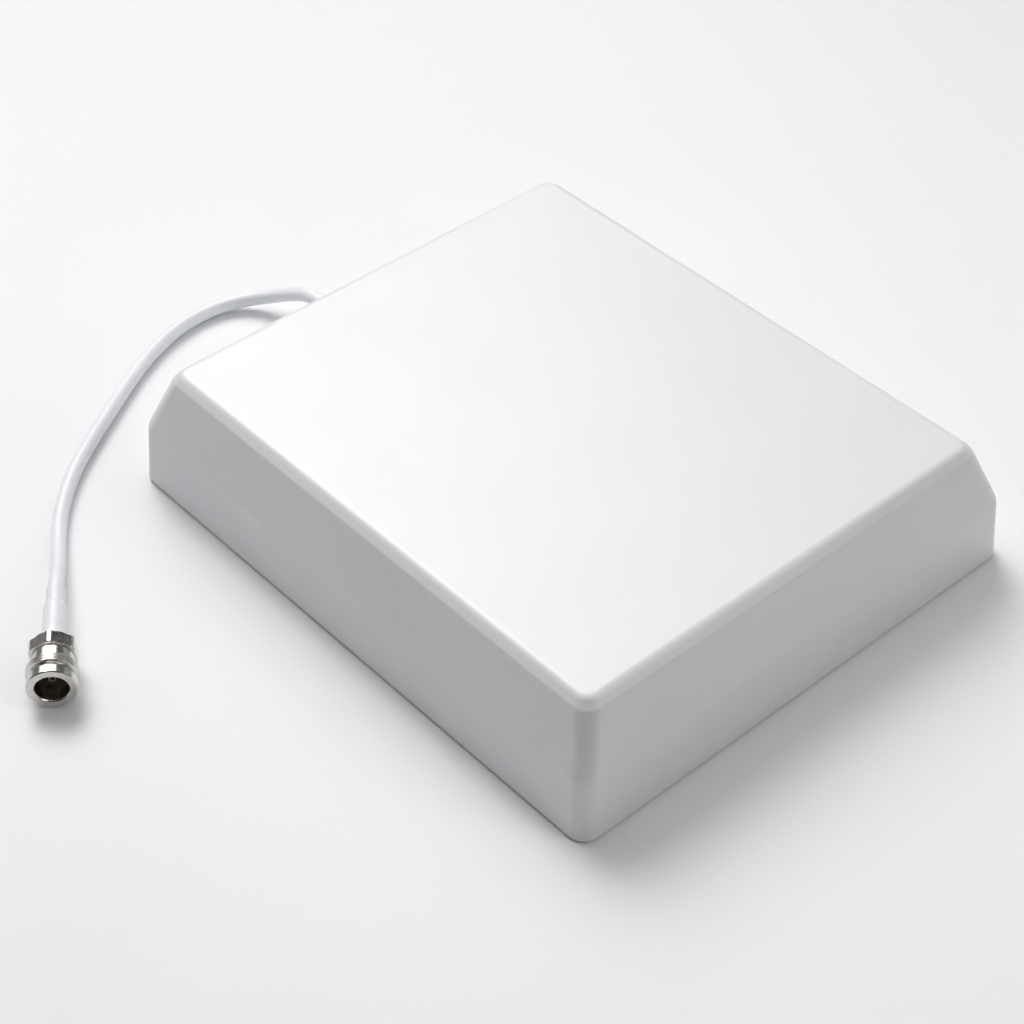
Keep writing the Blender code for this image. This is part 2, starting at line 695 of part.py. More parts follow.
def make_inner_coax():
    """The coax inside the housing, stripped in steps towards the feed strip."""
    start = -LENGTH / 2 - BOOT_INNER_END + GAP
    stages = [
        ("inner_coax_jacket", JACKET_RADIUS, start, JACKET_END_X, 16, CABLE_WHITE),
        ("inner_coax_braid", BRAID_RADIUS, JACKET_END_X + GAP, BRAID_END_X, 14, COPPER),
        ("inner_coax_dielectric", DIELECTRIC_RADIUS, BRAID_END_X + GAP, DIELECTRIC_END_X, 12, PTFE),
        ("inner_coax_core", CORE_RADIUS, DIELECTRIC_END_X + GAP, CORE_END_X, 8, COPPER),
    ]
    for name, radius, low_x, high_x, sides, material in stages:
        length = high_x - low_x
        piece = prism(name, radius, -length / 2, length / 2, sides, material)
        point_along(piece, (1, 0, 0), ((low_x + high_x) / 2, 0.0, EXIT_Z))


def make_strain_relief():
    """The boot is moulded on the coax: a flange inside the wall, a collar outside, then a taper."""
    profile = [
        (0.0, BOOT_TIP),
        (BOOT_TIP_RADIUS - GAP, BOOT_TIP),
        (BOOT_TIP_RADIUS, BOOT_TIP - GAP),
        (BOOT_ROOT_RADIUS, BOOT_COLLAR),
        (BOOT_FLANGE_RADIUS - GAP, BOOT_COLLAR),
        (BOOT_FLANGE_RADIUS, BOOT_COLLAR - GAP),
        (BOOT_FLANGE_RADIUS, BOOT_COLLAR_FOOT),
        (BOOT_NECK_RADIUS, BOOT_COLLAR_FOOT),
        (BOOT_NECK_RADIUS, BOOT_INNER_FLANGE),
        (BOOT_FLANGE_RADIUS, BOOT_INNER_FLANGE),
        (BOOT_FLANGE_RADIUS, BOOT_INNER_END),
        (0.0, BOOT_INNER_END),
    ]
    boot = turned("strain_relief", profile, CABLE_WHITE, steps=24)
    point_along(boot, (-1, 0, 0), (-LENGTH / 2, 0, EXIT_Z))


def mirrored(knot, end, direction):
    """The knot reflected through the end's cross plane, so the curve leaves the end along direction."""
    return knot - 2 * (knot - end).dot(direction) * direction


def smooth_route(route, count, start_direction, end_direction):
    """Points at even steps of a Catmull-Rom curve through the route, square to both of its ends."""
    knots = [Vector(point) for point in route]
    lead = mirrored(knots[1], knots[0], Vector(start_direction))
    tail = mirrored(knots[-2], knots[-1], Vector(end_direction))
    knots = [lead] + knots + [tail]
    points = []
    for step in range(count):
        place_on = step / (count - 1) * (len(route) - 1)
        span = min(int(place_on), len(route) - 2)
        t = place_on - span
        a, b, c, d = knots[span : span + 4]
        points.append(
            0.5 * (2 * b + (c - a) * t + (2 * a - 5 * b + 4 * c - d) * t**2 + (3 * b - a - 3 * c + d) * t**3)
        )
    return points


def make_coax_cable():
    """The free pigtail, a round tube along its route."""
    curve = bpy.data.curves.new("coax_cable", "CURVE")
    curve.dimensions = "3D"
    curve.bevel_depth = JACKET_RADIUS
    curve.bevel_resolution = 2
    curve.use_fill_caps = True
    points = smooth_route(CABLE_ROUTE, CABLE_POINTS, (-1, 0, 0), CONNECTOR_AXIS)
    spline = curve.splines.new("POLY")
    spline.points.add(len(points) - 1)
    for point, position in zip(spline.points, points):
        point.co = (*position, 1.0)
    curve.materials.append(CABLE_WHITE)
    PARTS.objects.link(bpy.data.objects.new("coax_cable", curve))


def connector_piece(name, profile, material, steps=24, closed=False):
    """A turned piece of the connector, given front to back by (radius, distance back from the open end)."""
    piece = turned(name, [(r, -back) for r, back in profile], material, steps, closed)
    return point_along(piece, CONNECTOR_AXIS, CONNECTOR_FRONT)


def make_connector_body():
    profile = [(MOUTH_RADIUS, 0.0), (LIP_RADIUS - GAP, 0.0), (LIP_RADIUS, GAP), (LIP_RADIUS, LIP_LENGTH)]
    profile.append((GROOVE_RADIUS, LIP_LENGTH))
    profile.append((GROOVE_RADIUS, THREAD_START))
    for turn in range(THREAD_TURNS):
        start = THREAD_START + turn * THREAD_PITCH
        profile.append((THREAD_ROOT_RADIUS, start))
        profile.append((THREAD_RADIUS, start + 0.4 * THREAD_PITCH))
        profile.append((THREAD_RADIUS, start + 0.6 * THREAD_PITCH))
    thread_end = THREAD_START + THREAD_TURNS * THREAD_PITCH
    profile += [
        (BARREL_RADIUS, thread_end),
        (BARREL_RADIUS, HEX_END),
        (SPIGOT_RADIUS, HEX_END),
        (SPIGOT_RADIUS, SPIGOT_END),
        (REAR_BORE_RADIUS, SPIGOT_END),
        (REAR_BORE_RADIUS, BORE_DEPTH),
        (BORE_RADIUS, BORE_DEPTH),
        (BORE_RADIUS, MOUTH_RADIUS - BORE_RADIUS),
    ]
    body = connector_piece("connector_body", profile, NICKEL, steps=24, closed=True)
    corner = HEX_ACROSS_FLATS / 2 / math.cos(math.pi / 6)
    inner = (BARREL_RADIUS + SPIGOT_RADIUS) / 2
    hexagon = prism("connector_hexagon", corner, -HEX_END + GAP, -HEX_START, 6, NICKEL)
    hex_bore = prism("connector_hexagon_bore", inner, -HEX_END - GAP, -HEX_START + GAP, 24, NICKEL)
    combine(hexagon, hex_bore, "DIFFERENCE")
    for helper in (hexagon, hex_bore):
        middle = -helper.location.z
        point_along(helper, CONNECTOR_AXIS, CONNECTOR_FRONT - CONNECTOR_AXIS * middle)
    combine(body, hexagon, "UNION")


def make_connector():
    make_connector_body()
    insulator_end = BORE_DEPTH - GAP
    hole = CONTACT_RADIUS + GAP
    insulator = [
        (hole, INSULATOR_FRONT),
        (INSULATOR_RADIUS, INSULATOR_FRONT),
        (INSULATOR_RADIUS, insulator_end),
        (hole, insulator_end),
    ]
    connector_piece("connector_insulator", insulator, PEI, steps=20, closed=True)
    contact = [
        (0.0, CONTACT_TAIL),
        (0.0, CONTACT_TIP + CONTACT_BORE_DEPTH),
        (CONTACT_BORE, CONTACT_TIP + CONTACT_BORE_DEPTH),
        (CONTACT_BORE, CONTACT_TIP),
        (CONTACT_RADIUS, CONTACT_TIP),
        (CONTACT_RADIUS, CONTACT_TAIL),
        (0.0, CONTACT_TAIL),
    ]
    connector_piece("connector_contact", contact, BRASS, steps=14)
    stub = [
        (0.0, STUB_START),
        (DIELECTRIC_RADIUS, STUB_START),
        (DIELECTRIC_RADIUS, STUB_SHOULDER),
        (JACKET_RADIUS, STUB_SHOULDER),
        (JACKET_RADIUS, SLEEVE_END),
        (0.0, SLEEVE_END),
    ]
    connector_piece("connector_coax_end", stub, CABLE_WHITE, steps=16)
    ferrule = [
        (FERRULE_INNER_RADIUS, HEX_END + GAP),
        (FERRULE_RADIUS, HEX_END + GAP),
        (FERRULE_RADIUS, FERRULE_END),
        (FERRULE_INNER_RADIUS, FERRULE_END),
    ]
    connector_piece("crimp_ferrule", ferrule, NICKEL, steps=20, closed=True)
    sleeve = [
        (SLEEVE_RADIUS - SLEEVE_WALL, HEX_END + GAP),
        (SLEEVE_RADIUS, HEX_END + GAP),
        (SLEEVE_RADIUS, SLEEVE_STEP - GAP),
        (SLEEVE_TAIL_RADIUS, SLEEVE_STEP + GAP),
        (SLEEVE_TAIL_RADIUS, SLEEVE_END),
        (SLEEVE_TAIL_RADIUS - SLEEVE_WALL, SLEEVE_END),
        (SLEEVE_TAIL_RADIUS - SLEEVE_WALL, SLEEVE_STEP + GAP),
        (SLEEVE_RADIUS - SLEEVE_WALL, SLEEVE_STEP - GAP),
    ]
    connector_piece("heat_shrink_sleeve", sleeve, CABLE_WHITE, steps=20, closed=True)


make_radome()
make_back_plate()
make_gasket()
make_case_screws()
make_reflector_tray()
make_radiating_stack()
make_cable_saddle()
make_ground_clamp()
make_feed_strip()
make_inner_coax()
make_strain_relief()
make_coax_cable()
make_connector()
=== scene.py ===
"""Looks of a cellular booster's wall panel antenna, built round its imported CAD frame.

Metres, +Z up, in the CAD frame: the antenna lies on its flat back with its face up, and its coax pigtail
leaves the short side at -X and runs over the floor to an N-type jack.
"""

import math

import bmesh
import bpy
from mathutils import Matrix, Vector, noise


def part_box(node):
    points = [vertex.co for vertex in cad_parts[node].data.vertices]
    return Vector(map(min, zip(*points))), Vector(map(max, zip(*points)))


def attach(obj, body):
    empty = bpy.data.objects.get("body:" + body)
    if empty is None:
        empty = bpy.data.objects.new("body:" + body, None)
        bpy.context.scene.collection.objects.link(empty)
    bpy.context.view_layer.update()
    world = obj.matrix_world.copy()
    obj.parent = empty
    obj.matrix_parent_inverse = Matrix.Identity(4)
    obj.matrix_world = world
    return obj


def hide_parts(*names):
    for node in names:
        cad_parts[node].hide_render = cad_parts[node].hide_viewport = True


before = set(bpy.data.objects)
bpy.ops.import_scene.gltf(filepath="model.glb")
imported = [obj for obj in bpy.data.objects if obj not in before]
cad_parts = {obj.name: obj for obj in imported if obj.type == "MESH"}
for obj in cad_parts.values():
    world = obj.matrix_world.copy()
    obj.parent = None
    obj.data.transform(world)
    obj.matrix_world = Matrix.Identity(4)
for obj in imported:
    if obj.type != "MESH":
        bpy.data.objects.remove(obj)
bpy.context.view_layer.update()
SHELL_LOW, SHELL_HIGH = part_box("radome")

# Camera.
CAMERA_PLACE = Vector((0.40152, -0.38140, 0.50875))
CAMERA_TARGET = Vector((-0.01086, -0.01259, 0.0006))
CAMERA_LENS = 82.5

# Radome: its side profile above the rim, as in the CAD part.
HALF_LENGTH = SHELL_HIGH.x
HALF_WIDTH = SHELL_HIGH.y
RIM_Z = SHELL_LOW.z
HEIGHT = SHELL_HIGH.z
KINK_Z = 0.0225
KINK_INSET = 0.0014
KINK_RADIUS = 0.010
EDGE_Z = 0.0412
EDGE_RADIUS = 0.0025
TOP_INSET = 0.0093
FACE_INSET = 0.0110
TOP_RADIUS = 0.004
CORNER_RADIUS = 0.0057
WALL = 0.0027
ROOF = 0.0025
RIM_CHAMFER = 0.0003
INNER_CORNER_RADIUS = 0.003
INNER_ROLL_RADIUS = 0.004
LEDGE_INSET = 0.0062
LEDGE_LOW = 0.0044
LEDGE_HIGH = 0.0060
LEDGE_SLOPE_TOP = 0.0080
CREASE_Z = 0.0410
CREASE_HALF = 0.0007
CREASE_HEIGHT = 0.00012
CREASE_LEAN = Vector((0.93, 0.0, 0.37))
CREASE_FADE = 0.010
SHELL_ARC_STEPS = 14
SHELL_CORNER_STEPS = 12
SHELL_SIDE_RUNS = 24

# Case bosses and screws.
BOSS_X = 0.094
BOSS_Y = 0.079
BOSS_RADIUS = 0.0042
BOSS_LOW = 0.0025
BOSS_HIGH = 0.020
WEB_HALF = 0.001
WEB_LOW = 0.0062
WEB_HIGH = 0.018
PILOT_RADIUS = 0.00175
PILOT_HIGH = 0.014
SCREW_FACE = 0.00015
SCREW_HEAD_RADIUS = 0.0028
SCREW_SHANK_RADIUS = 0.00145
SCREW_ROOT_RADIUS = 0.0011
SCREW_TIP = 0.0120
SCREW_PITCH = 0.0012
SCREW_BREAK = 0.0001
SCREW_POINT = 0.0004
SCREW_CUTS = 90
WING_HALF = 0.00028
WING_REACH = 0.0015
WING_DEPTH = 0.0012
WING_TAPER = 0.45

# Back plate.
PLATE_THICKNESS = 0.0022
PLATE_INSET = 0.0030
PLATE_RADIUS = 0.0030
PLATE_EASE = 0.0004
COUNTERSINK_RADIUS = 0.0031
KEYHOLE_X = 0.055
KEYHOLE_Y = 0.050
KEYHOLE_HEAD_RADIUS = 0.0045
KEYHOLE_SLOT_RADIUS = 0.0023
KEYHOLE_TRAVEL = 0.009
KEYHOLE_CHAMFER = 0.0003
PILLAR_X = 0.070
PILLAR_Y = 0.058
PILLAR_RADIUS = 0.0036
PILLAR_HIGH = 0.0067

# Strain relief boot, with distances outwards from the wall's plane.
EXIT_Z = 0.014
BOOT_HOLE_RADIUS = 0.0046
BOOT_NECK_RADIUS = 0.0043
BOOT_FLANGE_RADIUS = 0.0058
BOOT_INNER_END = -0.0061
BOOT_INNER_FLANGE = -0.0041
BOOT_COLLAR = 0.0018
BOOT_TIP = 0.0185
BOOT_ROOT_RADIUS = 0.0042
BOOT_TIP_RADIUS = 0.0031
BOOT_BORE_RADIUS = 0.00255
BOOT_GROOVES = 5
BOOT_GROOVE_HALF = 0.00055
BOOT_GROOVE_FLOOR_HALF = BOOT_GROOVE_HALF * 0.6
BOOT_GROOVE_DEPTH = 0.00045
BOOT_COLLAR_FOOT = -0.0001
BOOT_EASE = 0.0003

# The pigtail: the CAD route, from the boot's tip over the floor to the sleeve.
LEAD_RADIUS = 0.0025
LEAD_POINTS = 180
LEAD_ROUTE = [
    (-0.1238, 0.0000, 0.0140),
    (-0.1320, -0.0005, 0.0127),
    (-0.1397, -0.0023, 0.0095),
    (-0.1467, -0.0057, 0.0063),
    (-0.1528, -0.0110, 0.0041),
    (-0.1569, -0.0183, 0.0030),
    (-0.1582, -0.0267, 0.0026),
    (-0.1576, -0.0351, 0.0026),
    (-0.1557, -0.0433, 0.0026),
    (-0.1527, -0.0512, 0.0026),
    (-0.1491, -0.0589, 0.0026),
    (-0.1450, -0.0664, 0.0026),
    (-0.1406, -0.0737, 0.0026),
    (-0.1361, -0.0809, 0.0026),
    (-0.1316, -0.0881, 0.0026),
    (-0.1270, -0.0952, 0.0026),
    (-0.1222, -0.1022, 0.0026),
    (-0.1170, -0.1089, 0.0026),
    (-0.1113, -0.1151, 0.0026),
    (-0.1051, -0.1210, 0.0027),
    (-0.0985, -0.1263, 0.0030),
    (-0.0918, -0.1309, 0.0037),
    (-0.0849, -0.1354, 0.0050),
    (-0.0781, -0.1400, 0.0068),
    (-0.07125, -0.14486, 0.00795),
]

# N-type jack: the middle of its open end, the way it faces, and distances back from that end.
JACK_FRONT = Vector((-0.0373, -0.1689, 0.00795))
JACK_AXIS = Vector((0.816, -0.578, 0.0)).normalized()
FINE_BREAK = 0.0001
BREAK = 0.0003
LIP_RADIUS = 0.0076
LIP_LENGTH = 0.0030
GROOVE_RADIUS = 0.0066
THREAD_RADIUS = 0.0079
THREAD_ROOT_RADIUS = 0.0071
THREAD_PITCH = 0.0254 / 24
THREAD_START = 0.0040
THREAD_TURNS = 4
THREAD_END = THREAD_START + THREAD_TURNS * THREAD_PITCH
THREAD_CUTS = THREAD_TURNS * 20
THREAD_RELIEF = 0.0004
THREAD_FADE = THREAD_PITCH * 0.6
BARREL_RADIUS = 0.0065
NECK_RADIUS = 0.0059
NECK_LENGTH = 0.0005
MOUTH_RADIUS = 0.0051
BORE_RADIUS = 0.0049
BORE_DEPTH = 0.0123
REAR_BORE_RADIUS = 0.0019
HEX_START = 0.0125
HEX_END = 0.0174
HEX_ACROSS_FLATS = 0.0137
HEX_HALF = HEX_ACROSS_FLATS / 2
HEX_LAND_RADIUS = 0.0076
HEX_REAR_CHAMFER = 0.0005
HEX_TURN = math.radians(2.5)
SPIGOT_RADIUS = 0.0026
SPIGOT_END = 0.0230
INSULATOR_FRONT = 0.0092
INSULATOR_RADIUS = 0.0046
INSULATOR_END = 0.0120
CONTACT_TIP = 0.0042
CONTACT_RADIUS = 0.0012
CONTACT_BORE = 0.0008
CONTACT_BORE_DEPTH = 0.0040
CONTACT_SLOT_HALF = 0.00012
CONTACT_TAIL = 0.0163
SLEEVE_START = 0.0177
SLEEVE_STEP = 0.0342
SLEEVE_END = 0.0418
SLEEVE_WALL = 0.0003
SLEEVE_RADIUS = 0.0036
SLEEVE_TAIL_RADIUS = 0.00295
SLEEVE_STEP_HALF = 0.0006
SLEEVE_STEP_LENGTH = 0.0014
SLEEVE_CLEARANCE = 0.00003
SLEEVE_TURN_IN = 0.0001
SLEEVE_RUNS = 60
SLEEVE_WAVE = 0.00006

# The sleeve's rolled foot: how far it stands out, at distances behind the sleeve's start.
SLEEVE_FOOT = [
    (0.0006, 0.0),
    (0.0008, 0.0004),
    (0.0008, 0.0010),
    (0.0006, 0.0015),
    (0.0002, 0.0020),
    (0.0, 0.0024),
]
SLEEVE_FOOT_END = 0.0027

# Light: name, azimuth, elevation, distance, width, height, power and spread of each softbox.
SOFTBOXES = [
    ("key", 168, 48, 1.5, 1.5, 1.0, 9.8, 180),
    ("key_core", 162, 50, 1.5, 1.1, 1.1, 1.8, 45),
    ("right_fill", 22, 42, 1.5, 0.7, 1.0, 5.4, 180),
    ("back_fill", 90, 50, 1.5, 0.7, 0.7, 1.6, 180),
    ("left_fill", 225, 25, 1.5, 0.7, 0.7, 2.2, 180),
    ("overhead", 0, 89, 0.9, 0.5, 0.5, 0.8, 180),
]
WALL_STRENGTH = 0.25
CEILING_STRENGTH = 0.02
WALL_TOP = 0.60
FLOOR_HALF = 6.0


def make_camera():
    data = bpy.data.cameras.new("camera")
    data.lens = CAMERA_LENS
    data.sensor_width = 36.0
    data.clip_start = 0.01
    data.clip_end = 50.0
    camera = bpy.data.objects.new("camera", data)
    bpy.context.scene.collection.objects.link(camera)
    camera.location = CAMERA_PLACE
    camera.rotation_mode = "QUATERNION"
    camera.rotation_quaternion = (CAMERA_TARGET - CAMERA_PLACE).to_track_quat("-Z", "Y")
    bpy.context.scene.camera = camera


class Surface:
    """A Principled material whose colour, roughness and height come from node textures in metres."""

    def __init__(self, name, colour, roughness, metallic=0.0, axis=None, **settings):
        self.material = bpy.data.materials.new(name)
        self.material.use_nodes = True
        self.tree = self.material.node_tree
        self.shader = self.tree.nodes["Principled BSDF"]
        self.shader.inputs["Base Color"].default_value = (*colour, 1.0)
        self.shader.inputs["Roughness"].default_value = roughness
        self.shader.inputs["Metallic"].default_value = metallic
        for socket, value in settings.items():
            self.shader.inputs[socket.replace("_", " ")].default_value = value
        self.colour = (*colour, 1.0)
        self.height = None
        self.axis = axis

    def node(self, kind, **values):
        made = self.tree.nodes.new(kind)
        for key, value in values.items():
            setattr(made, key, value)
        return made

    def link(self, source, target):
        self.tree.links.new(source, target)

    def place(self, stretch=(1.0, 1.0, 1.0)):
        """Object coordinates in metres, turned to the surface's own axis as +Z, then stretched."""
        coordinates = self.node("ShaderNodeTexCoord").outputs["Object"]
        if self.axis:
            turned = self.node("ShaderNodeMapping", vector_type="TEXTURE")
            turned.inputs["Location"].default_value = self.axis[0]
            turned.inputs["Rotation"].default_value = self.axis[1].to_track_quat("Z", "Y").to_euler()
            self.link(coordinates, turned.inputs["Vector"])
            coordinates = turned.outputs["Vector"]
        mapping = self.node("ShaderNodeMapping")
        mapping.inputs["Scale"].default_value = stretch
        self.link(coordinates, mapping.inputs["Vector"])
        return mapping.outputs["Vector"]

    def noise(self, size, detail=2.0, stretch=(1.0, 1.0, 1.0), roughness=0.5):
        """Cloudy noise whose features are about size metres across."""
        texture = self.node("ShaderNodeTexNoise")
        texture.inputs["Scale"].default_value = 1.0 / size
        texture.inputs["Detail"].default_value = detail
        texture.inputs["Roughness"].default_value = roughness
        self.link(self.place(stretch), texture.inputs["Vector"])
        return texture.outputs["Fac"]

    def cells(self, size):
        texture = self.node("ShaderNodeTexVoronoi")
        texture.inputs["Scale"].default_value = 1.0 / size
        self.link(self.place(), texture.inputs["Vector"])
        return texture.outputs["Distance"]

    def math(self, operation, first, second=0.0, third=0.0):
        made = self.node("ShaderNodeMath", operation=operation)
        for socket, value in zip(made.inputs, (first, second, third)):
            if isinstance(value, (int, float)):
                socket.default_value = value
            else:
                self.link(value, socket)
        return made.outputs[0]

    def spread(self, value, from_low, from_high, to_low, to_high):
        """Maps a value from one range to another, held at its ends."""
        made = self.node("ShaderNodeMapRange")
        for socket, number in zip(list(made.inputs)[1:5], (from_low, from_high, to_low, to_high)):
            socket.default_value = number
        self.link(value, made.inputs["Value"])
        return made.outputs["Result"]

    def tint(self, factor, colour):
        """Blends the colour so far towards another by a factor."""
        made = self.node("ShaderNodeMix", data_type="RGBA")
        self.link(factor, made.inputs["Factor"])
        if isinstance(self.colour, tuple):
            made.inputs["A"].default_value = self.colour
        else:
            self.link(self.colour, made.inputs["A"])
        made.inputs["B"].default_value = (*colour, 1.0)
        self.colour = made.outputs["Result"]
        self.link(self.colour, self.shader.inputs["Base Color"])

    def gloss(self, value, low, high):
        """Roughness from low to high as the value goes from 0.3 to 0.7."""
        self.link(self.spread(value, 0.3, 0.7, low, high), self.shader.inputs["Roughness"])

    def bump(self, value, depth, strength=1.0):
        made = self.node("ShaderNodeBump")
        made.inputs["Strength"].default_value = strength
        made.inputs["Distance"].default_value = depth
        self.link(value, made.inputs["Height"])
        if self.height:
            self.link(self.height, made.inputs["Normal"])
        self.height = made.outputs["Normal"]
        self.link(self.height, self.shader.inputs["Normal"])


def moulded_plastic(name, colour, shade, grain, depth, low_gloss, high_gloss):
    """Satin moulded plastic: spark-eroded grain, faint flow clouds and rubbed patches."""
    surface = Surface(name, colour, low_gloss, Specular_IOR_Level=0.8)
    clouds = surface.noise(0.035, detail=3.0)
    surface.tint(surface.spread(clouds, 0.35, 0.75, 0.0, 1.0), shade)
    rubbed = surface.noise(0.018, detail=4.0, stretch=(1.0, 1.0, 2.5))
    surface.gloss(rubbed, low_gloss, high_gloss)
    surface.bump(clouds, 0.0002, 0.15)
    surface.bump(surface.noise(grain, detail=3.0, roughness=0.6), depth)
    return surface.material


def drawn_plastic(name, colour, shade, low_gloss, high_gloss, wrinkle, depth, stretch=(1.0, 1.0, 1.0)):
    """Smooth extruded or shrunk plastic with slow waviness and a little dust-grey unevenness."""
    surface = Surface(name, colour, low_gloss)
    patches = surface.noise(0.006, detail=4.0)
    surface.tint(surface.spread(patches, 0.45, 0.8, 0.0, 1.0), shade)
    surface.gloss(patches, low_gloss, high_gloss)
    surface.bump(surface.noise(wrinkle, detail=2.0, stretch=stretch), depth)
    surface.bump(surface.noise(0.00025, detail=2.0), 0.000004)
    return surface.material


def turned_metal(name, colour, tarnish, low_gloss, high_gloss, axis=None):
    """Plated metal off the lathe: fine rings across the axis, smudges and a few dull spots."""
    surface = Surface(name, colour, low_gloss, metallic=1.0, axis=axis)
    smudges = surface.noise(0.0022, detail=4.0)
    surface.tint(surface.spread(smudges, 0.5, 0.8, 0.0, 0.6), tarnish)
    surface.gloss(smudges, low_gloss, high_gloss)
    surface.bump(surface.noise(0.00012, detail=2.0, stretch=(0.02, 0.02, 1.0)), 0.000002)
    surface.bump(surface.noise(0.0009, detail=2.0), 0.000006)
    return surface.material


def sheet_metal(name, colour, tarnish, low_gloss, high_gloss):
    """Rolled sheet with its grain along X, and handling marks."""
    surface = Surface(name, colour, low_gloss, metallic=1.0)
    grain = surface.noise(0.0003, detail=3.0, stretch=(0.02, 1.0, 1.0))
    marks = surface.noise(0.012, detail=5.0)
    surface.tint(surface.spread(marks, 0.5, 0.75, 0.0, 0.7), tarnish)
    worn = surface.math("MULTIPLY_ADD", grain, 0.5, surface.math("MULTIPLY", marks, 0.5))
    surface.gloss(worn, low_gloss, high_gloss)
    surface.bump(grain, 0.000008)
    return surface.material


def closed_foam(name, colour, shade):
    surface = Surface(name, colour, 0.9)
    pores = surface.cells(0.0005)
    surface.tint(surface.spread(pores, 0.0, 0.5, 1.0, 0.0), shade)
    surface.gloss(surface.noise(0.003), 0.8, 0.95)
    surface.bump(pores, 0.0001)
    return surface.material


def waxy_plastic(name, colour, shade, low_gloss, high_gloss):
    """Nylon, PTFE, and the jack's insulator in a dark brown of painted shade: a little light goes through it,
    and cut faces show tool marks.
    """
    surface = Surface(name, colour, low_gloss, Subsurface_Weight=0.15, Subsurface_Scale=0.001)
    clouds = surface.noise(0.003, detail=3.0)
    surface.tint(surface.spread(clouds, 0.4, 0.8, 0.0, 1.0), shade)
    surface.gloss(clouds, low_gloss, high_gloss)
    surface.bump(surface.noise(0.0002, detail=2.0), 0.000006)
    return surface.material


def braid(name, colour, tarnish):
    """Woven copper round the X axis: two sets of strands that cross."""
    surface = Surface(name, colour, 0.3, metallic=1.0)
    split = surface.node("ShaderNodeSeparateXYZ")
    surface.link(surface.place(), split.inputs[0])
    height = surface.math("SUBTRACT", split.outputs["Z"], EXIT_Z)
    angle = surface.math("MULTIPLY", surface.math("ARCTAN2", split.outputs["Y"], height), 8.0)
    along = surface.math("MULTIPLY", split.outputs["X"], 4200.0)
    one = surface.math("SINE", surface.math("ADD", angle, along))
    other = surface.math("SINE", surface.math("SUBTRACT", angle, along))
    weave = surface.math("MAXIMUM", one, other)
    surface.tint(surface.spread(weave, -0.6, 0.6, 1.0, 0.0), tarnish)
    surface.gloss(surface.noise(0.002, detail=3.0), 0.25, 0.4)
    surface.bump(weave, 0.0001)
    return surface.material


def pale_floor(name):
    surface = Surface(name, (0.86, 0.865, 0.875), 0.6)
    surface.gloss(surface.noise(0.2, detail=3.0), 0.55, 0.65)
    surface.bump(surface.noise(0.0015, detail=3.0), 0.00002)
    return surface.material


COVER = moulded_plastic("cover_abs", (0.755, 0.765, 0.78), (0.74, 0.75, 0.765), 0.00045, 0.000012, 0.34, 0.40)
BASE = moulded_plastic("base_abs", (0.77, 0.78, 0.79), (0.73, 0.74, 0.755), 0.0007, 0.000025, 0.45, 0.55)
JACKET = drawn_plastic("jacket_pvc", (0.83, 0.84, 0.86), (0.79, 0.80, 0.82), 0.28, 0.38, 0.004, 0.00006)
SHRINK = drawn_plastic(
    "shrink_polyolefin", (0.82, 0.83, 0.85), (0.77, 0.78, 0.80), 0.30, 0.42, 0.0016, 0.00005, (1.0, 1.0, 0.4)
)
RUBBER = drawn_plastic("boot_pvc", (0.80, 0.81, 0.82), (0.75, 0.76, 0.78), 0.42, 0.52, 0.0009, 0.00002)
ON_JACK = (JACK_FRONT, JACK_AXIS)
NICKEL = turned_metal("nickel_plate", (0.70, 0.68, 0.645), (0.52, 0.50, 0.46), 0.15, 0.25, ON_JACK)
GILT = turned_metal("contact_plate", (0.86, 0.79, 0.64), (0.66, 0.58, 0.44), 0.22, 0.34, ON_JACK)
STEEL = turned_metal("screw_steel", (0.56, 0.56, 0.57), (0.36, 0.35, 0.34), 0.26, 0.40)
ALUMINIUM = sheet_metal("rolled_aluminium", (0.80, 0.81, 0.82), (0.62, 0.63, 0.64), 0.28, 0.42)
BRASS = sheet_metal("rolled_brass", (0.80, 0.62, 0.32), (0.50, 0.36, 0.18), 0.24, 0.40)
COPPER = turned_metal("drawn_copper", (0.80, 0.46, 0.32), (0.50, 0.27, 0.18), 0.20, 0.32)
BRAID = braid("copper_braid", (0.80, 0.46, 0.32), (0.30, 0.15, 0.09))
NYLON = waxy_plastic("nylon", (0.82, 0.80, 0.74), (0.76, 0.73, 0.65), 0.42, 0.55)
PTFE = waxy_plastic("ptfe", (0.86, 0.86, 0.85), (0.80, 0.80, 0.78), 0.34, 0.46)
# The jack's insulator colour is painted shade: a dark brown that stands for the shadow deep in the jack's
# bore.
SHADED_INSULATOR = waxy_plastic("pei", (0.15, 0.10, 0.055), (0.10, 0.065, 0.035), 0.28, 0.42)
FOAM = closed_foam("gasket_foam", (0.11, 0.11, 0.11), (0.04, 0.04, 0.04))


def settle(name, mesh, material, nodes, angle=35.0):
    """Makes a piece of a mesh: smooth but for sharp edges, riding on the root, in place of its CAD nodes."""
    mesh.materials.clear()
    mesh.materials.append(material)
    mesh.shade_smooth()
    mesh.set_sharp_from_angle(angle=math.radians(angle))
    obj = bpy.data.objects.new(name, mesh)
    bpy.context.scene.collection.objects.link(obj)
    normals = obj.modifiers.new("flats", "WEIGHTED_NORMAL")
    normals.keep_sharp = True
    if nodes:
        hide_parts(*nodes)
    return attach(obj, "root")


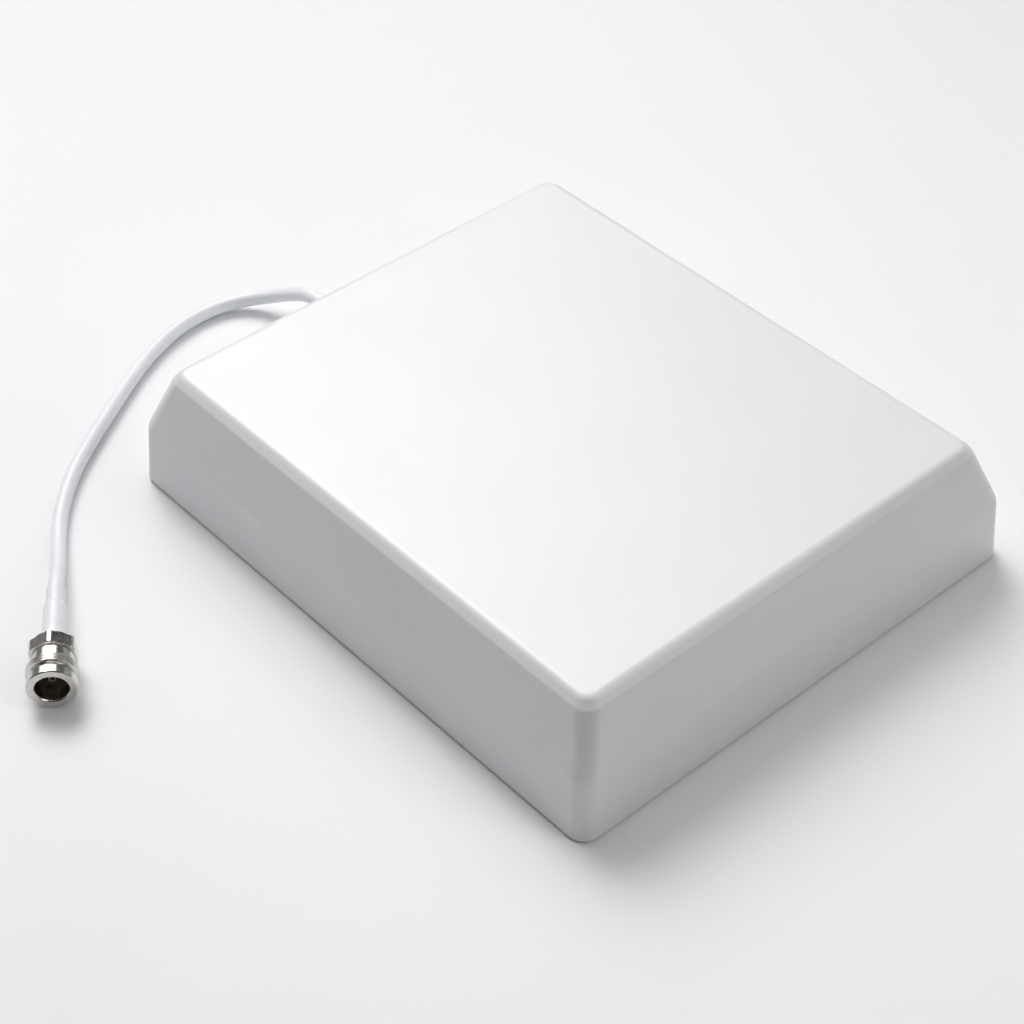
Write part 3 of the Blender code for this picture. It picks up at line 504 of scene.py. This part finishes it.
def ringed_mesh(name, rings, first_cap=False, last_cap=False, looped=False):
    """A skin over rings of equally many points, with flat caps, or looped from the last ring to the first."""
    shape = bmesh.new()
    loops = [[shape.verts.new(point) for point in ring] for ring in rings]
    pairs = list(zip(loops, loops[1:]))
    if looped:
        pairs.append((loops[-1], loops[0]))
    for lower, upper in pairs:
        for i in range(len(lower)):
            following = (i + 1) % len(lower)
            shape.faces.new((lower[i], lower[following], upper[following], upper[i]))
    if first_cap:
        shape.faces.new(loops[0])
    if last_cap:
        shape.faces.new(loops[-1])
    bmesh.ops.remove_doubles(shape, verts=shape.verts, dist=0.0000005)
    bmesh.ops.dissolve_degenerate(shape, edges=shape.edges, dist=0.0000005)
    bmesh.ops.recalc_face_normals(shape, faces=shape.faces)
    mesh = bpy.data.meshes.new(name)
    shape.to_mesh(mesh)
    shape.free()
    return mesh


def carved(mesh, steps):
    """The mesh after Boolean steps of (operation, helper mesh)."""
    body = bpy.data.objects.new("carved", mesh)
    bpy.context.scene.collection.objects.link(body)
    helpers = []
    for operation, helper_mesh in steps:
        helper = bpy.data.objects.new("helper", helper_mesh)
        bpy.context.scene.collection.objects.link(helper)
        modifier = body.modifiers.new(operation.lower(), "BOOLEAN")
        modifier.operation = operation
        modifier.solver = "EXACT"
        modifier.object = helper
        helpers.append(helper)
    bpy.context.view_layer.update()
    evaluated = body.evaluated_get(bpy.context.evaluated_depsgraph_get())
    result = bpy.data.meshes.new_from_object(evaluated)
    result.name = mesh.name
    for obj in [body] + helpers:
        bpy.data.objects.remove(obj)
    return result


def rounded_outline(half_x, half_y, radius, steps, runs=1):
    """Anticlockwise points of a rectangle with round corners, its straight sides cut into runs."""
    points = []
    for quarter, (sign_x, sign_y) in enumerate([(1, 1), (-1, 1), (-1, -1), (1, -1)]):
        centre = Vector((sign_x * (half_x - radius), sign_y * (half_y - radius)))
        for step in range(steps + 1):
            angle = math.pi / 2 * (quarter + step / steps)
            points.append(centre + radius * Vector((math.cos(angle), math.sin(angle))))
    outline = []
    for i, point in enumerate(points):
        outline.append(point)
        following = points[(i + 1) % len(points)]
        if (i + 1) % (steps + 1) == 0:
            outline += [point.lerp(following, run / runs) for run in range(1, runs)]
    return outline


def filleted(points, radii, steps):
    """An open outline whose inner corners become arcs of the given radii."""
    result = [Vector(points[0])]
    for before, corner, after, radius in zip(points, points[1:], points[2:], radii):
        here = Vector(corner)
        if not radius:
            result.append(here)
            continue
        back = (Vector(before) - here).normalized()
        ahead = (Vector(after) - here).normalized()
        half_angle = back.angle(ahead) / 2
        centre = here + (back + ahead).normalized() * (radius / math.sin(half_angle))
        first = here + back * (radius / math.tan(half_angle)) - centre
        last = here + ahead * (radius / math.tan(half_angle)) - centre
        for step in range(steps + 1):
            result.append(centre + first.lerp(last, step / steps).normalized() * radius)
    result.append(Vector(points[-1]))
    return result


def eased(profile, radius, steps=3):
    """A profile with every inner corner rounded by the radius, or by less where a run is short."""
    radii = []
    for before, corner, after in zip(profile, profile[1:], profile[2:]):
        here = Vector(corner)
        back = Vector(before) - here
        ahead = Vector(after) - here
        bend = math.pi - back.angle(ahead)
        room = min(back.length, ahead.length) * 0.45 / max(math.tan(bend / 2), 0.01)
        radii.append(0.0 if bend < math.radians(12) else min(radius, room))
    return filleted(profile, radii, steps)


def lathed(name, profile, sides=64, shape=None, closed=False):
    """A turned mesh round +Z from (radius, z) points. shape(radius, angle, z) may take a ring off round."""
    rings = []
    for radius, z in profile:
        ring = []
        for side in range(sides):
            angle = 2 * math.pi * side / sides
            reach = shape(radius, angle, z) if shape else radius
            ring.append((reach * math.cos(angle), reach * math.sin(angle), z))
        rings.append(ring)
    return ringed_mesh(name, rings, looped=closed)


def moved(mesh, place):
    mesh.transform(Matrix.Translation(place))
    return mesh


def cylinder(name, radius, low, high, sides=32):
    return lathed(name, [(0.0, low), (radius, low), (radius, high), (0.0, high)], sides)


def block(name, low, high):
    mesh = bpy.data.meshes.new(name)
    shape = bmesh.new()
    bmesh.ops.create_cube(shape, size=1.0)
    bmesh.ops.scale(shape, vec=Vector(high) - Vector(low), verts=shape.verts)
    bmesh.ops.translate(shape, vec=(Vector(high) + Vector(low)) / 2, verts=shape.verts)
    shape.to_mesh(mesh)
    shape.free()
    return mesh


def smooth_step(value):
    held = max(0.0, min(1.0, value))
    return held * held * (3 - 2 * held)


def mirrored(knot, end, direction):
    """The knot reflected through the end's cross plane, so that the curve leaves the end along direction."""
    return knot - 2 * (knot - end).dot(direction) * direction


def smooth_route(route, count, start_direction, end_direction):
    """Points at even steps of a Catmull-Rom curve through the route, square to both of its ends."""
    knots = [Vector(point) for point in route]
    lead = mirrored(knots[1], knots[0], start_direction)
    tail = mirrored(knots[-2], knots[-1], end_direction)
    knots = [lead] + knots + [tail]
    points = []
    for step in range(count):
        place_on = step / (count - 1) * (len(route) - 1)
        span = min(int(place_on), len(route) - 2)
        t = place_on - span
        a, b, c, d = knots[span : span + 4]
        square = 2 * a - 5 * b + 4 * c - d
        cube = 3 * b - a - 3 * c + d
        points.append(0.5 * (2 * b + (c - a) * t + square * t**2 + cube * t**3))
    return points


def make_lead():
    """The pigtail as a round tube, from the boot's inner end to inside the sleeve."""
    outwards = Vector((-1, 0, 0))
    points = smooth_route(LEAD_ROUTE, LEAD_POINTS, outwards, JACK_AXIS)
    points.insert(0, Vector((-HALF_LENGTH - BOOT_INNER_END, 0.0, EXIT_Z)))
    points.append(points[-1] + JACK_AXIS * 0.0002)
    curve = bpy.data.curves.new("coax_lead", "CURVE")
    curve.dimensions = "3D"
    curve.bevel_depth = LEAD_RADIUS
    curve.bevel_resolution = 8
    curve.use_fill_caps = True
    spline = curve.splines.new("POLY")
    spline.points.add(len(points) - 1)
    for point, position in zip(spline.points, points):
        point.co = (*position, 1.0)
    spline.use_smooth = True
    curve.materials.append(JACKET)
    lead = bpy.data.objects.new("coax_lead", curve)
    bpy.context.scene.collection.objects.link(lead)
    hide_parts("coax_cable")
    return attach(lead, "root")


def stand(mesh, axis, start):
    """Turns a mesh made along Z so that its +Z runs along axis from start."""
    mesh.transform(Matrix.LocRotScale(start, Vector(axis).to_track_quat("Z", "Y"), None))
    return mesh


def make_boot():
    """The strain relief boot: flange, neck in the wall, collar, then a taper with ring grooves."""
    profile = [
        (BOOT_BORE_RADIUS, BOOT_INNER_END),
        (BOOT_FLANGE_RADIUS, BOOT_INNER_END),
        (BOOT_FLANGE_RADIUS, BOOT_INNER_FLANGE),
        (BOOT_NECK_RADIUS, BOOT_INNER_FLANGE),
        (BOOT_NECK_RADIUS, BOOT_COLLAR_FOOT),
        (BOOT_FLANGE_RADIUS, BOOT_COLLAR_FOOT),
        (BOOT_FLANGE_RADIUS, BOOT_COLLAR),
        (BOOT_ROOT_RADIUS, BOOT_COLLAR),
    ]
    length = BOOT_TIP - BOOT_COLLAR
    for groove in range(BOOT_GROOVES):
        middle = BOOT_COLLAR + length * (groove + 1) / (BOOT_GROOVES + 1)
        share = (middle - BOOT_COLLAR) / length
        radius = BOOT_ROOT_RADIUS + (BOOT_TIP_RADIUS - BOOT_ROOT_RADIUS) * share
        profile += [
            (radius, middle - BOOT_GROOVE_HALF),
            (radius - BOOT_GROOVE_DEPTH, middle - BOOT_GROOVE_FLOOR_HALF),
            (radius - BOOT_GROOVE_DEPTH, middle + BOOT_GROOVE_FLOOR_HALF),
            (radius, middle + BOOT_GROOVE_HALF),
        ]
    profile += [
        (BOOT_TIP_RADIUS, BOOT_TIP),
        (BOOT_BORE_RADIUS, BOOT_TIP),
    ]
    mesh = lathed("boot", eased(profile, BOOT_EASE), 48, closed=True)
    stand(mesh, (-1, 0, 0), Vector((-HALF_LENGTH, 0, EXIT_Z)))
    return settle("strain_relief_boot", mesh, RUBBER, ["strain_relief"])


def on_jack(name, mesh, material, nodes):
    """Settles a piece whose mesh is made along +Z with the jack's open end at z = 0."""
    return settle(name, stand(mesh, JACK_AXIS, JACK_FRONT), material, nodes)


def make_sleeve():
    """Heat-shrink sleeve: a rolled foot, a fat run over the ferrule, a soft step and a run on the jacket."""
    profile = [(SLEEVE_RADIUS - SLEEVE_WALL, -SLEEVE_START)]
    profile += [(SLEEVE_RADIUS + rise, -SLEEVE_START - back) for rise, back in SLEEVE_FOOT]
    run_start = SLEEVE_START + SLEEVE_FOOT_END
    for run in range(SLEEVE_RUNS + 1):
        back = run_start + (SLEEVE_END - run_start) * run / SLEEVE_RUNS
        drop = smooth_step((back - SLEEVE_STEP + SLEEVE_STEP_HALF) / SLEEVE_STEP_LENGTH)
        profile.append((SLEEVE_RADIUS + (SLEEVE_TAIL_RADIUS - SLEEVE_RADIUS) * drop, -back))
    profile += [
        (LEAD_RADIUS + SLEEVE_CLEARANCE, -SLEEVE_END - SLEEVE_TURN_IN),
        (LEAD_RADIUS + SLEEVE_CLEARANCE, -SLEEVE_STEP - SLEEVE_STEP_HALF),
        (SLEEVE_RADIUS - SLEEVE_WALL, -SLEEVE_STEP + SLEEVE_STEP_HALF),
    ]

    def wavy(radius, angle, z):
        """Leaves the inside round, and gives the outside slow waves."""
        if radius < SLEEVE_TAIL_RADIUS - FINE_BREAK:
            return radius
        spot = Vector((math.cos(angle) * 1.2, math.sin(angle) * 1.2, z * 300.0))
        return radius + SLEEVE_WAVE * noise.noise(spot)

    mesh = lathed("sleeve", profile, 48, wavy, closed=True)
    return on_jack("shrink_sleeve", mesh, SHRINK, ["heat_shrink_sleeve"])


def thread_height(angle, along, pitch):
    """0 at a screw thread's root and 1 on its crest, for a right-hand thread round +Z."""
    phase = (along / pitch - angle / (2 * math.pi)) % 1.0
    return smooth_step((0.46 - abs(phase - 0.5)) / 0.38)


def jack_shape(radius, angle, z):
    """Reshapes the jack's rings: a real helix where the thread is, and six flats where the nut is."""
    back = -z
    if radius == THREAD_ROOT_RADIUS and THREAD_START <= back <= THREAD_END:
        run_in = smooth_step((back - THREAD_START) / THREAD_FADE)
        run_out = smooth_step((THREAD_END - back) / THREAD_FADE)
        rise = (THREAD_RADIUS - THREAD_ROOT_RADIUS) * min(run_in, run_out)
        return radius + rise * thread_height(angle, back, THREAD_PITCH)
    if radius > BARREL_RADIUS and back > THREAD_END:
        sixth = math.pi / 3
        off_flat = (angle - math.pi / 2 - HEX_TURN + sixth / 2) % sixth - sixth / 2
        flat = HEX_HALF / math.cos(sixth / 2 - abs(off_flat))
        return min(radius, flat)
    return radius


def make_jack_body():
    """The nickel body: lip, groove, thread, barrel, neck, hexagon and the spigot under the ferrule."""
    profile = [
        (BORE_RADIUS, -2 * BREAK),
        (MOUTH_RADIUS, -2 * FINE_BREAK),
        (MOUTH_RADIUS + 2 * FINE_BREAK, 0.0),
        (LIP_RADIUS - BREAK, 0.0),
        (LIP_RADIUS, -BREAK),
        (LIP_RADIUS, -LIP_LENGTH + FINE_BREAK),
        (LIP_RADIUS - FINE_BREAK, -LIP_LENGTH),
        (GROOVE_RADIUS, -LIP_LENGTH),
        (GROOVE_RADIUS, -THREAD_START + FINE_BREAK),
    ]
    for cut in range(THREAD_CUTS + 1):
        profile.append((THREAD_ROOT_RADIUS, -THREAD_START - THREAD_TURNS * THREAD_PITCH * cut / THREAD_CUTS))
    profile += [
        (BARREL_RADIUS, -THREAD_END - THREAD_RELIEF),
        (BARREL_RADIUS, -HEX_START + NECK_LENGTH + 2 * FINE_BREAK),
        (BARREL_RADIUS - FINE_BREAK, -HEX_START + NECK_LENGTH + FINE_BREAK),
        (NECK_RADIUS, -HEX_START + NECK_LENGTH),
        (NECK_RADIUS, -HEX_START),
        (HEX_HALF - BREAK, -HEX_START),
        (HEX_HALF, -HEX_START - FINE_BREAK),
        (HEX_LAND_RADIUS, -HEX_START - 2 * FINE_BREAK),
        (HEX_LAND_RADIUS, -HEX_END + HEX_REAR_CHAMFER),
        (HEX_HALF, -HEX_END + FINE_BREAK),
        (HEX_HALF - BREAK, -HEX_END),
        (SPIGOT_RADIUS, -HEX_END),
        (SPIGOT_RADIUS, -SPIGOT_END),
        (REAR_BORE_RADIUS, -SPIGOT_END),
        (REAR_BORE_RADIUS, -BORE_DEPTH),
        (BORE_RADIUS, -BORE_DEPTH),
    ]
    mesh = lathed("jack", profile, 144, jack_shape, closed=True)
    return on_jack("jack_body", mesh, NICKEL, ["connector_body"])


def make_jack_inside():
    """The insulator with its stepped bore, and the socket contact with its four slots."""
    hole = CONTACT_RADIUS + BREAK
    insulator = [
        (hole, -INSULATOR_FRONT - 2 * FINE_BREAK),
        (hole + 4 * FINE_BREAK, -INSULATOR_FRONT),
        (INSULATOR_RADIUS - BREAK, -INSULATOR_FRONT),
        (INSULATOR_RADIUS, -INSULATOR_FRONT - BREAK),
        (INSULATOR_RADIUS, -INSULATOR_END),
        (hole, -INSULATOR_END),
    ]
    insulator_mesh = lathed("insulator", insulator, 48, closed=True)
    bore_end = -CONTACT_TIP - CONTACT_BORE_DEPTH
    contact = [
        (0.0, -CONTACT_TAIL),
        (CONTACT_RADIUS, -CONTACT_TAIL),
        (CONTACT_RADIUS, -CONTACT_TIP - BREAK),
        (CONTACT_RADIUS - FINE_BREAK, -CONTACT_TIP),
        (CONTACT_BORE + FINE_BREAK, -CONTACT_TIP),
        (CONTACT_BORE, -CONTACT_TIP - 2 * FINE_BREAK),
        (CONTACT_BORE, bore_end),
        (0.0, bore_end),
    ]
    reach = CONTACT_RADIUS * 1.5
    slot_end = -CONTACT_TIP - CONTACT_BORE_DEPTH * 0.8
    slot_x = block("slot_x", (-reach, -CONTACT_SLOT_HALF, slot_end), (reach, CONTACT_SLOT_HALF, 0.0))
    slot_y = block("slot_y", (-CONTACT_SLOT_HALF, -reach, slot_end), (CONTACT_SLOT_HALF, reach, 0.0))
    contact_mesh = carved(lathed("contact", contact, 40), [("DIFFERENCE", slot_x), ("DIFFERENCE", slot_y)])
    # The insulator takes the dark brown of painted shade.
    return [
        on_jack("jack_insulator", insulator_mesh, SHADED_INSULATOR, ["connector_insulator"]),
        on_jack("jack_contact", contact_mesh, GILT, ["connector_contact"]),
    ]


# The housing.


def crease(x, y, z, inset):
    """How far the shell's +X side stands out along the faint mould line at the bevel's lower edge."""
    off = (z - CREASE_Z) / CREASE_HALF
    if abs(off) > 3 or x < HALF_LENGTH - inset - 0.0005:
        return 0.0
    along = smooth_step((y + HALF_WIDTH * 0.9) / (HALF_WIDTH * 1.3))
    end = smooth_step((HALF_WIDTH - inset - y) / CREASE_FADE)
    return CREASE_HEIGHT * math.exp(-off * off) * along * end


def shell_rings():
    """From the inside of the roof down the inner wall, round the rim, and up the outside to the face."""
    roof_z = HEIGHT - ROOF
    slope = (TOP_INSET - KINK_INSET) / (HEIGHT - KINK_Z)
    roof_inset = KINK_INSET + WALL + slope * (roof_z - KINK_Z)
    inside = [
        (roof_inset + 2 * INNER_ROLL_RADIUS, roof_z),
        (roof_inset, roof_z),
        (KINK_INSET + WALL, KINK_Z),
        (KINK_INSET / 2 + WALL, LEDGE_SLOPE_TOP),
    ]
    inside = filleted(inside, [INNER_ROLL_RADIUS, KINK_RADIUS], 6)
    inside += [(LEDGE_INSET, LEDGE_HIGH), (LEDGE_INSET, LEDGE_LOW), (WALL, LEDGE_LOW), (WALL, RIM_Z)]
    outside = filleted(
        [
            (RIM_CHAMFER, RIM_Z),
            (0.0, RIM_Z + RIM_CHAMFER),
            (KINK_INSET, KINK_Z),
            (KINK_INSET + slope * (EDGE_Z - KINK_Z), EDGE_Z),
            (FACE_INSET, HEIGHT),
            (FACE_INSET + TOP_RADIUS, HEIGHT),
        ],
        [0.0, KINK_RADIUS, EDGE_RADIUS, TOP_RADIUS],
        SHELL_ARC_STEPS,
    )[:-1]
    # Close rings just under the face's roll keep the bevel's shading flat.
    roll = len(outside) - SHELL_ARC_STEPS - 1
    foot, bevel_low = outside[roll], outside[roll - 1]
    outside[roll:roll] = [foot.lerp(bevel_low, share) for share in (0.16, 0.12, 0.09, 0.06, 0.03)]
    rings = []
    for part, corner in ((inside, INNER_CORNER_RADIUS), (outside, None)):
        for inset, z in part:
            radius = corner or CORNER_RADIUS - max(0.0, inset - TOP_INSET)
            half_x, half_y = HALF_LENGTH - inset, HALF_WIDTH - inset
            outline = rounded_outline(half_x, half_y, radius, SHELL_CORNER_STEPS, SHELL_SIDE_RUNS)
            ring = [Vector((x, y, z)) for x, y in outline]
            if corner is None:
                for point in ring:
                    point += CREASE_LEAN * crease(*point, inset)
            rings.append(ring)
    return rings


def boss_places():
    corners = [(sign_x * BOSS_X, sign_y * BOSS_Y) for sign_x, sign_y in ((-1, -1), (1, -1), (1, 1), (-1, 1))]
    return corners + [(0.0, -BOSS_Y), (0.0, BOSS_Y)]


def make_shell():
    steps = []
    for x, y in boss_places():
        steps.append(("UNION", moved(cylinder("boss", BOSS_RADIUS, BOSS_LOW, BOSS_HIGH), (x, y, 0))))
        low_y, high_y = sorted((y, math.copysign(HALF_WIDTH - WALL, y)))
        web = block("web", (x - WEB_HALF, low_y, WEB_LOW), (x + WEB_HALF, high_y, WEB_HIGH))
        steps.append(("UNION", web))
        if x:
            low_x, high_x = sorted((x, math.copysign(HALF_LENGTH - WALL, x)))
            web = block("web", (low_x, y - WEB_HALF, WEB_LOW), (high_x, y + WEB_HALF, WEB_HIGH))
            steps.append(("UNION", web))
    for x, y in boss_places():
        steps.append(("DIFFERENCE", moved(cylinder("pilot", PILOT_RADIUS, 0.0, PILOT_HIGH), (x, y, 0))))
    hole = cylinder("cable_hole", BOOT_HOLE_RADIUS, -0.010, 0.010, 48)
    steps.append(("DIFFERENCE", stand(hole, (-1, 0, 0), Vector((-HALF_LENGTH, 0, EXIT_Z)))))
    mesh = carved(ringed_mesh("shell", shell_rings(), first_cap=True, last_cap=True), steps)
    return settle("radome_shell", mesh, COVER, ["radome"])


def keyhole(x, y, steps=40):
    """A keyhole: the screw head enters at (x, y), and the slot runs to +X."""
    half_mouth = math.asin(KEYHOLE_SLOT_RADIUS / KEYHOLE_HEAD_RADIUS)
    points = []
    for step in range(steps + 1):
        angle = half_mouth + (2 * math.pi - 2 * half_mouth) * step / steps
        reach = KEYHOLE_HEAD_RADIUS * Vector((math.cos(angle), math.sin(angle)))
        points.append(Vector((x, y)) + reach)
    for step in range(steps // 2 + 1):
        angle = math.pi * (step / (steps // 2) - 0.5)
        slot_x = x + KEYHOLE_TRAVEL + KEYHOLE_SLOT_RADIUS * math.cos(angle)
        points.append(Vector((slot_x, y + KEYHOLE_SLOT_RADIUS * math.sin(angle))))
    return points


def prismatic(name, outline, low, high):
    rings = [[(x, y, z) for x, y in outline] for z in (low, high)]
    return ringed_mesh(name, rings, first_cap=True, last_cap=True)


def make_plate():
    """The back plate: rounded edge, keyholes, countersinks and the four pillars of the tray."""
    half_x, half_y = HALF_LENGTH - PLATE_INSET, HALF_WIDTH - PLATE_INSET
    edge = [
        (PLATE_EASE, 0.0),
        (PLATE_EASE * 0.3, PLATE_EASE * 0.3),
        (0.0, PLATE_EASE),
        (0.0, PLATE_THICKNESS - PLATE_EASE),
        (PLATE_EASE, PLATE_THICKNESS),
    ]
    rings = []
    for inset, z in edge:
        outline = rounded_outline(half_x - inset, half_y - inset, PLATE_RADIUS - inset, 12)
        rings.append([(x, y, z) for x, y in outline])
    steps = []
    for sign in (-1, 1):
        for grow, low, high in ((0.0, -0.001, 0.004), (KEYHOLE_CHAMFER, -0.001, KEYHOLE_CHAMFER)):
            outline = keyhole(KEYHOLE_X, sign * KEYHOLE_Y)
            if grow:
                middle = Vector((KEYHOLE_X + KEYHOLE_TRAVEL * 0.4, sign * KEYHOLE_Y))
                outline = [p + (p - middle).normalized() * grow for p in outline]
            steps.append(("DIFFERENCE", prismatic("keyhole", outline, low, high)))
    for sign_x in (-1, 1):
        for sign_y in (-1, 1):
            place = (sign_x * PILLAR_X, sign_y * PILLAR_Y, 0)
            pillar = cylinder("pillar", PILLAR_RADIUS, PLATE_THICKNESS / 2, PILLAR_HIGH)
            steps.append(("UNION", moved(pillar, place)))
            pilot = cylinder("pillar_pilot", PILOT_RADIUS, PLATE_THICKNESS, PILLAR_HIGH * 2)
            steps.append(("DIFFERENCE", moved(pilot, place)))
    flare = [
        (0.0, 2 * PLATE_THICKNESS),
        (PILOT_RADIUS, 2 * PLATE_THICKNESS),
        (PILOT_RADIUS, COUNTERSINK_RADIUS - PILOT_RADIUS),
        (COUNTERSINK_RADIUS, 0.0),
        (COUNTERSINK_RADIUS, -PLATE_THICKNESS),
        (0.0, -PLATE_THICKNESS),
    ]
    for x, y in boss_places():
        steps.append(("DIFFERENCE", moved(lathed("countersink", flare, 40), (x, y, 0))))
    mesh = carved(ringed_mesh("plate", rings, first_cap=True, last_cap=True), steps)
    return settle("wall_plate", mesh, BASE, ["back_plate"])


def screw_shape(radius, angle, z):
    """Raises a thread from a screw's root, fading out at its tip."""
    if radius != SCREW_ROOT_RADIUS:
        return radius
    fade = smooth_step((SCREW_TIP - z) / SCREW_PITCH)
    return radius + (SCREW_SHANK_RADIUS - SCREW_ROOT_RADIUS) * fade * thread_height(-angle, z, SCREW_PITCH)


def make_case_screws():
    """Countersunk cross-recess screws, driven upwards from the wall side."""
    neck = SCREW_FACE + SCREW_HEAD_RADIUS - SCREW_ROOT_RADIUS
    profile = [
        (0.0, SCREW_FACE),
        (SCREW_HEAD_RADIUS - SCREW_BREAK, SCREW_FACE),
        (SCREW_HEAD_RADIUS, SCREW_FACE + SCREW_BREAK),
    ]
    for cut in range(SCREW_CUTS + 1):
        z = neck + (SCREW_TIP - SCREW_POINT - neck) * cut / SCREW_CUTS
        profile.append((SCREW_ROOT_RADIUS, z))
    profile += [(SCREW_ROOT_RADIUS * 0.5, SCREW_TIP), (0.0, SCREW_TIP)]
    depth = SCREW_FACE + WING_DEPTH
    steps = []
    for turn in (0, 1):
        arm = block("wing", (-WING_REACH, -WING_HALF, -0.001), (WING_REACH, WING_HALF, depth))
        arm.transform(Matrix.Rotation(math.pi / 2 * turn, 4, "Z"))
        for vertex in arm.vertices:
            if vertex.co.z > 0:
                vertex.co.x *= WING_TAPER
                vertex.co.y *= WING_TAPER
        steps.append(("DIFFERENCE", arm))
    mesh = carved(lathed("case_screw", profile, 32, screw_shape), steps)
    for number, (x, y) in enumerate(boss_places(), start=1):
        copy = mesh.copy()
        copy.transform(Matrix.Translation((x, y, 0)) @ Matrix.Rotation(number * 0.9, 4, "Z"))
        settle(f"back_screw_{number}", copy, STEEL, [f"case_screw_{number}"])


def dress_inner_nodes():
    """Gives every CAD node that stays its procedural finish."""
    finishes = {
        "perimeter_gasket": FOAM,
        "reflector_tray": ALUMINIUM,
        "director_plate": ALUMINIUM,
        "tray_screw": STEEL,
        "saddle_screw": STEEL,
        "driven_plate": BRASS,
        "ground_clamp": BRASS,
        "feed_strip": BRASS,
        "lower_spacer": NYLON,
        "upper_spacer": NYLON,
        "stack_screw": NYLON,
        "stack_nut": NYLON,
        "cable_saddle": NYLON,
        "inner_coax_jacket": JACKET,
        "connector_coax_end": JACKET,
        "inner_coax_braid": BRAID,
        "inner_coax_dielectric": PTFE,
        "inner_coax_core": COPPER,
        "crimp_ferrule": NICKEL,
    }
    for name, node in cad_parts.items():
        if node.hide_render:
            continue
        finish = next(material for start, material in finishes.items() if name.startswith(start))
        for place in node.material_slots:
            place.material = finish


def make_floor():
    mesh = bpy.data.meshes.new("floor")
    corners = [(x * FLOOR_HALF, y * FLOOR_HALF, 0) for x, y in ((-1, -1), (1, -1), (1, 1), (-1, 1))]
    mesh.from_pydata(corners, [], [(0, 1, 2, 3)])
    mesh.materials.append(pale_floor("pale_floor"))
    floor = bpy.data.objects.new("floor", mesh)
    bpy.context.scene.collection.objects.link(floor)


def softbox(name, azimuth, elevation, distance, width, height, power, spread):
    """An area light that faces the antenna. Azimuth 0 is towards +X and 90 towards +Y, in degrees."""
    data = bpy.data.lights.new(name, "AREA")
    data.shape = "RECTANGLE"
    data.size = width
    data.size_y = height
    data.energy = power
    data.spread = math.radians(spread)
    light = bpy.data.objects.new(name, data)
    bpy.context.scene.collection.objects.link(light)
    turn, rise = math.radians(azimuth), math.radians(elevation)
    way = Vector((math.cos(turn) * math.cos(rise), math.sin(turn) * math.cos(rise), math.sin(rise)))
    light.location = way * distance
    light.rotation_mode = "QUATERNION"
    light.rotation_quaternion = (-way).to_track_quat("-Z", "Y")


def make_world():
    """A studio with pale walls round the horizon under a dark ceiling."""
    world = bpy.data.worlds.new("studio")
    world.use_nodes = True
    nodes, links = world.node_tree.nodes, world.node_tree.links
    direction = nodes.new("ShaderNodeTexCoord").outputs["Generated"]
    split = nodes.new("ShaderNodeSeparateXYZ")
    links.new(direction, split.inputs[0])
    fade = nodes.new("ShaderNodeMapRange")
    fade.interpolation_type = "SMOOTHSTEP"
    fade.inputs["From Max"].default_value = WALL_TOP
    fade.inputs["To Min"].default_value = WALL_STRENGTH
    fade.inputs["To Max"].default_value = CEILING_STRENGTH
    links.new(split.outputs["Z"], fade.inputs["Value"])
    background = nodes["Background"]
    background.inputs["Color"].default_value = (1.0, 1.0, 1.0, 1.0)
    links.new(fade.outputs["Result"], background.inputs["Strength"])
    bpy.context.scene.world = world


def make_light():
    for settings in SOFTBOXES:
        softbox(*settings)
    make_world()
    bpy.context.scene.view_settings.view_transform = "Standard"


make_camera()
lead = make_lead()
boot = make_boot()
sleeve = make_sleeve()
jack = [make_jack_body()] + make_jack_inside()
make_shell()
make_plate()
make_case_screws()
dress_inner_nodes()
make_floor()
make_light()
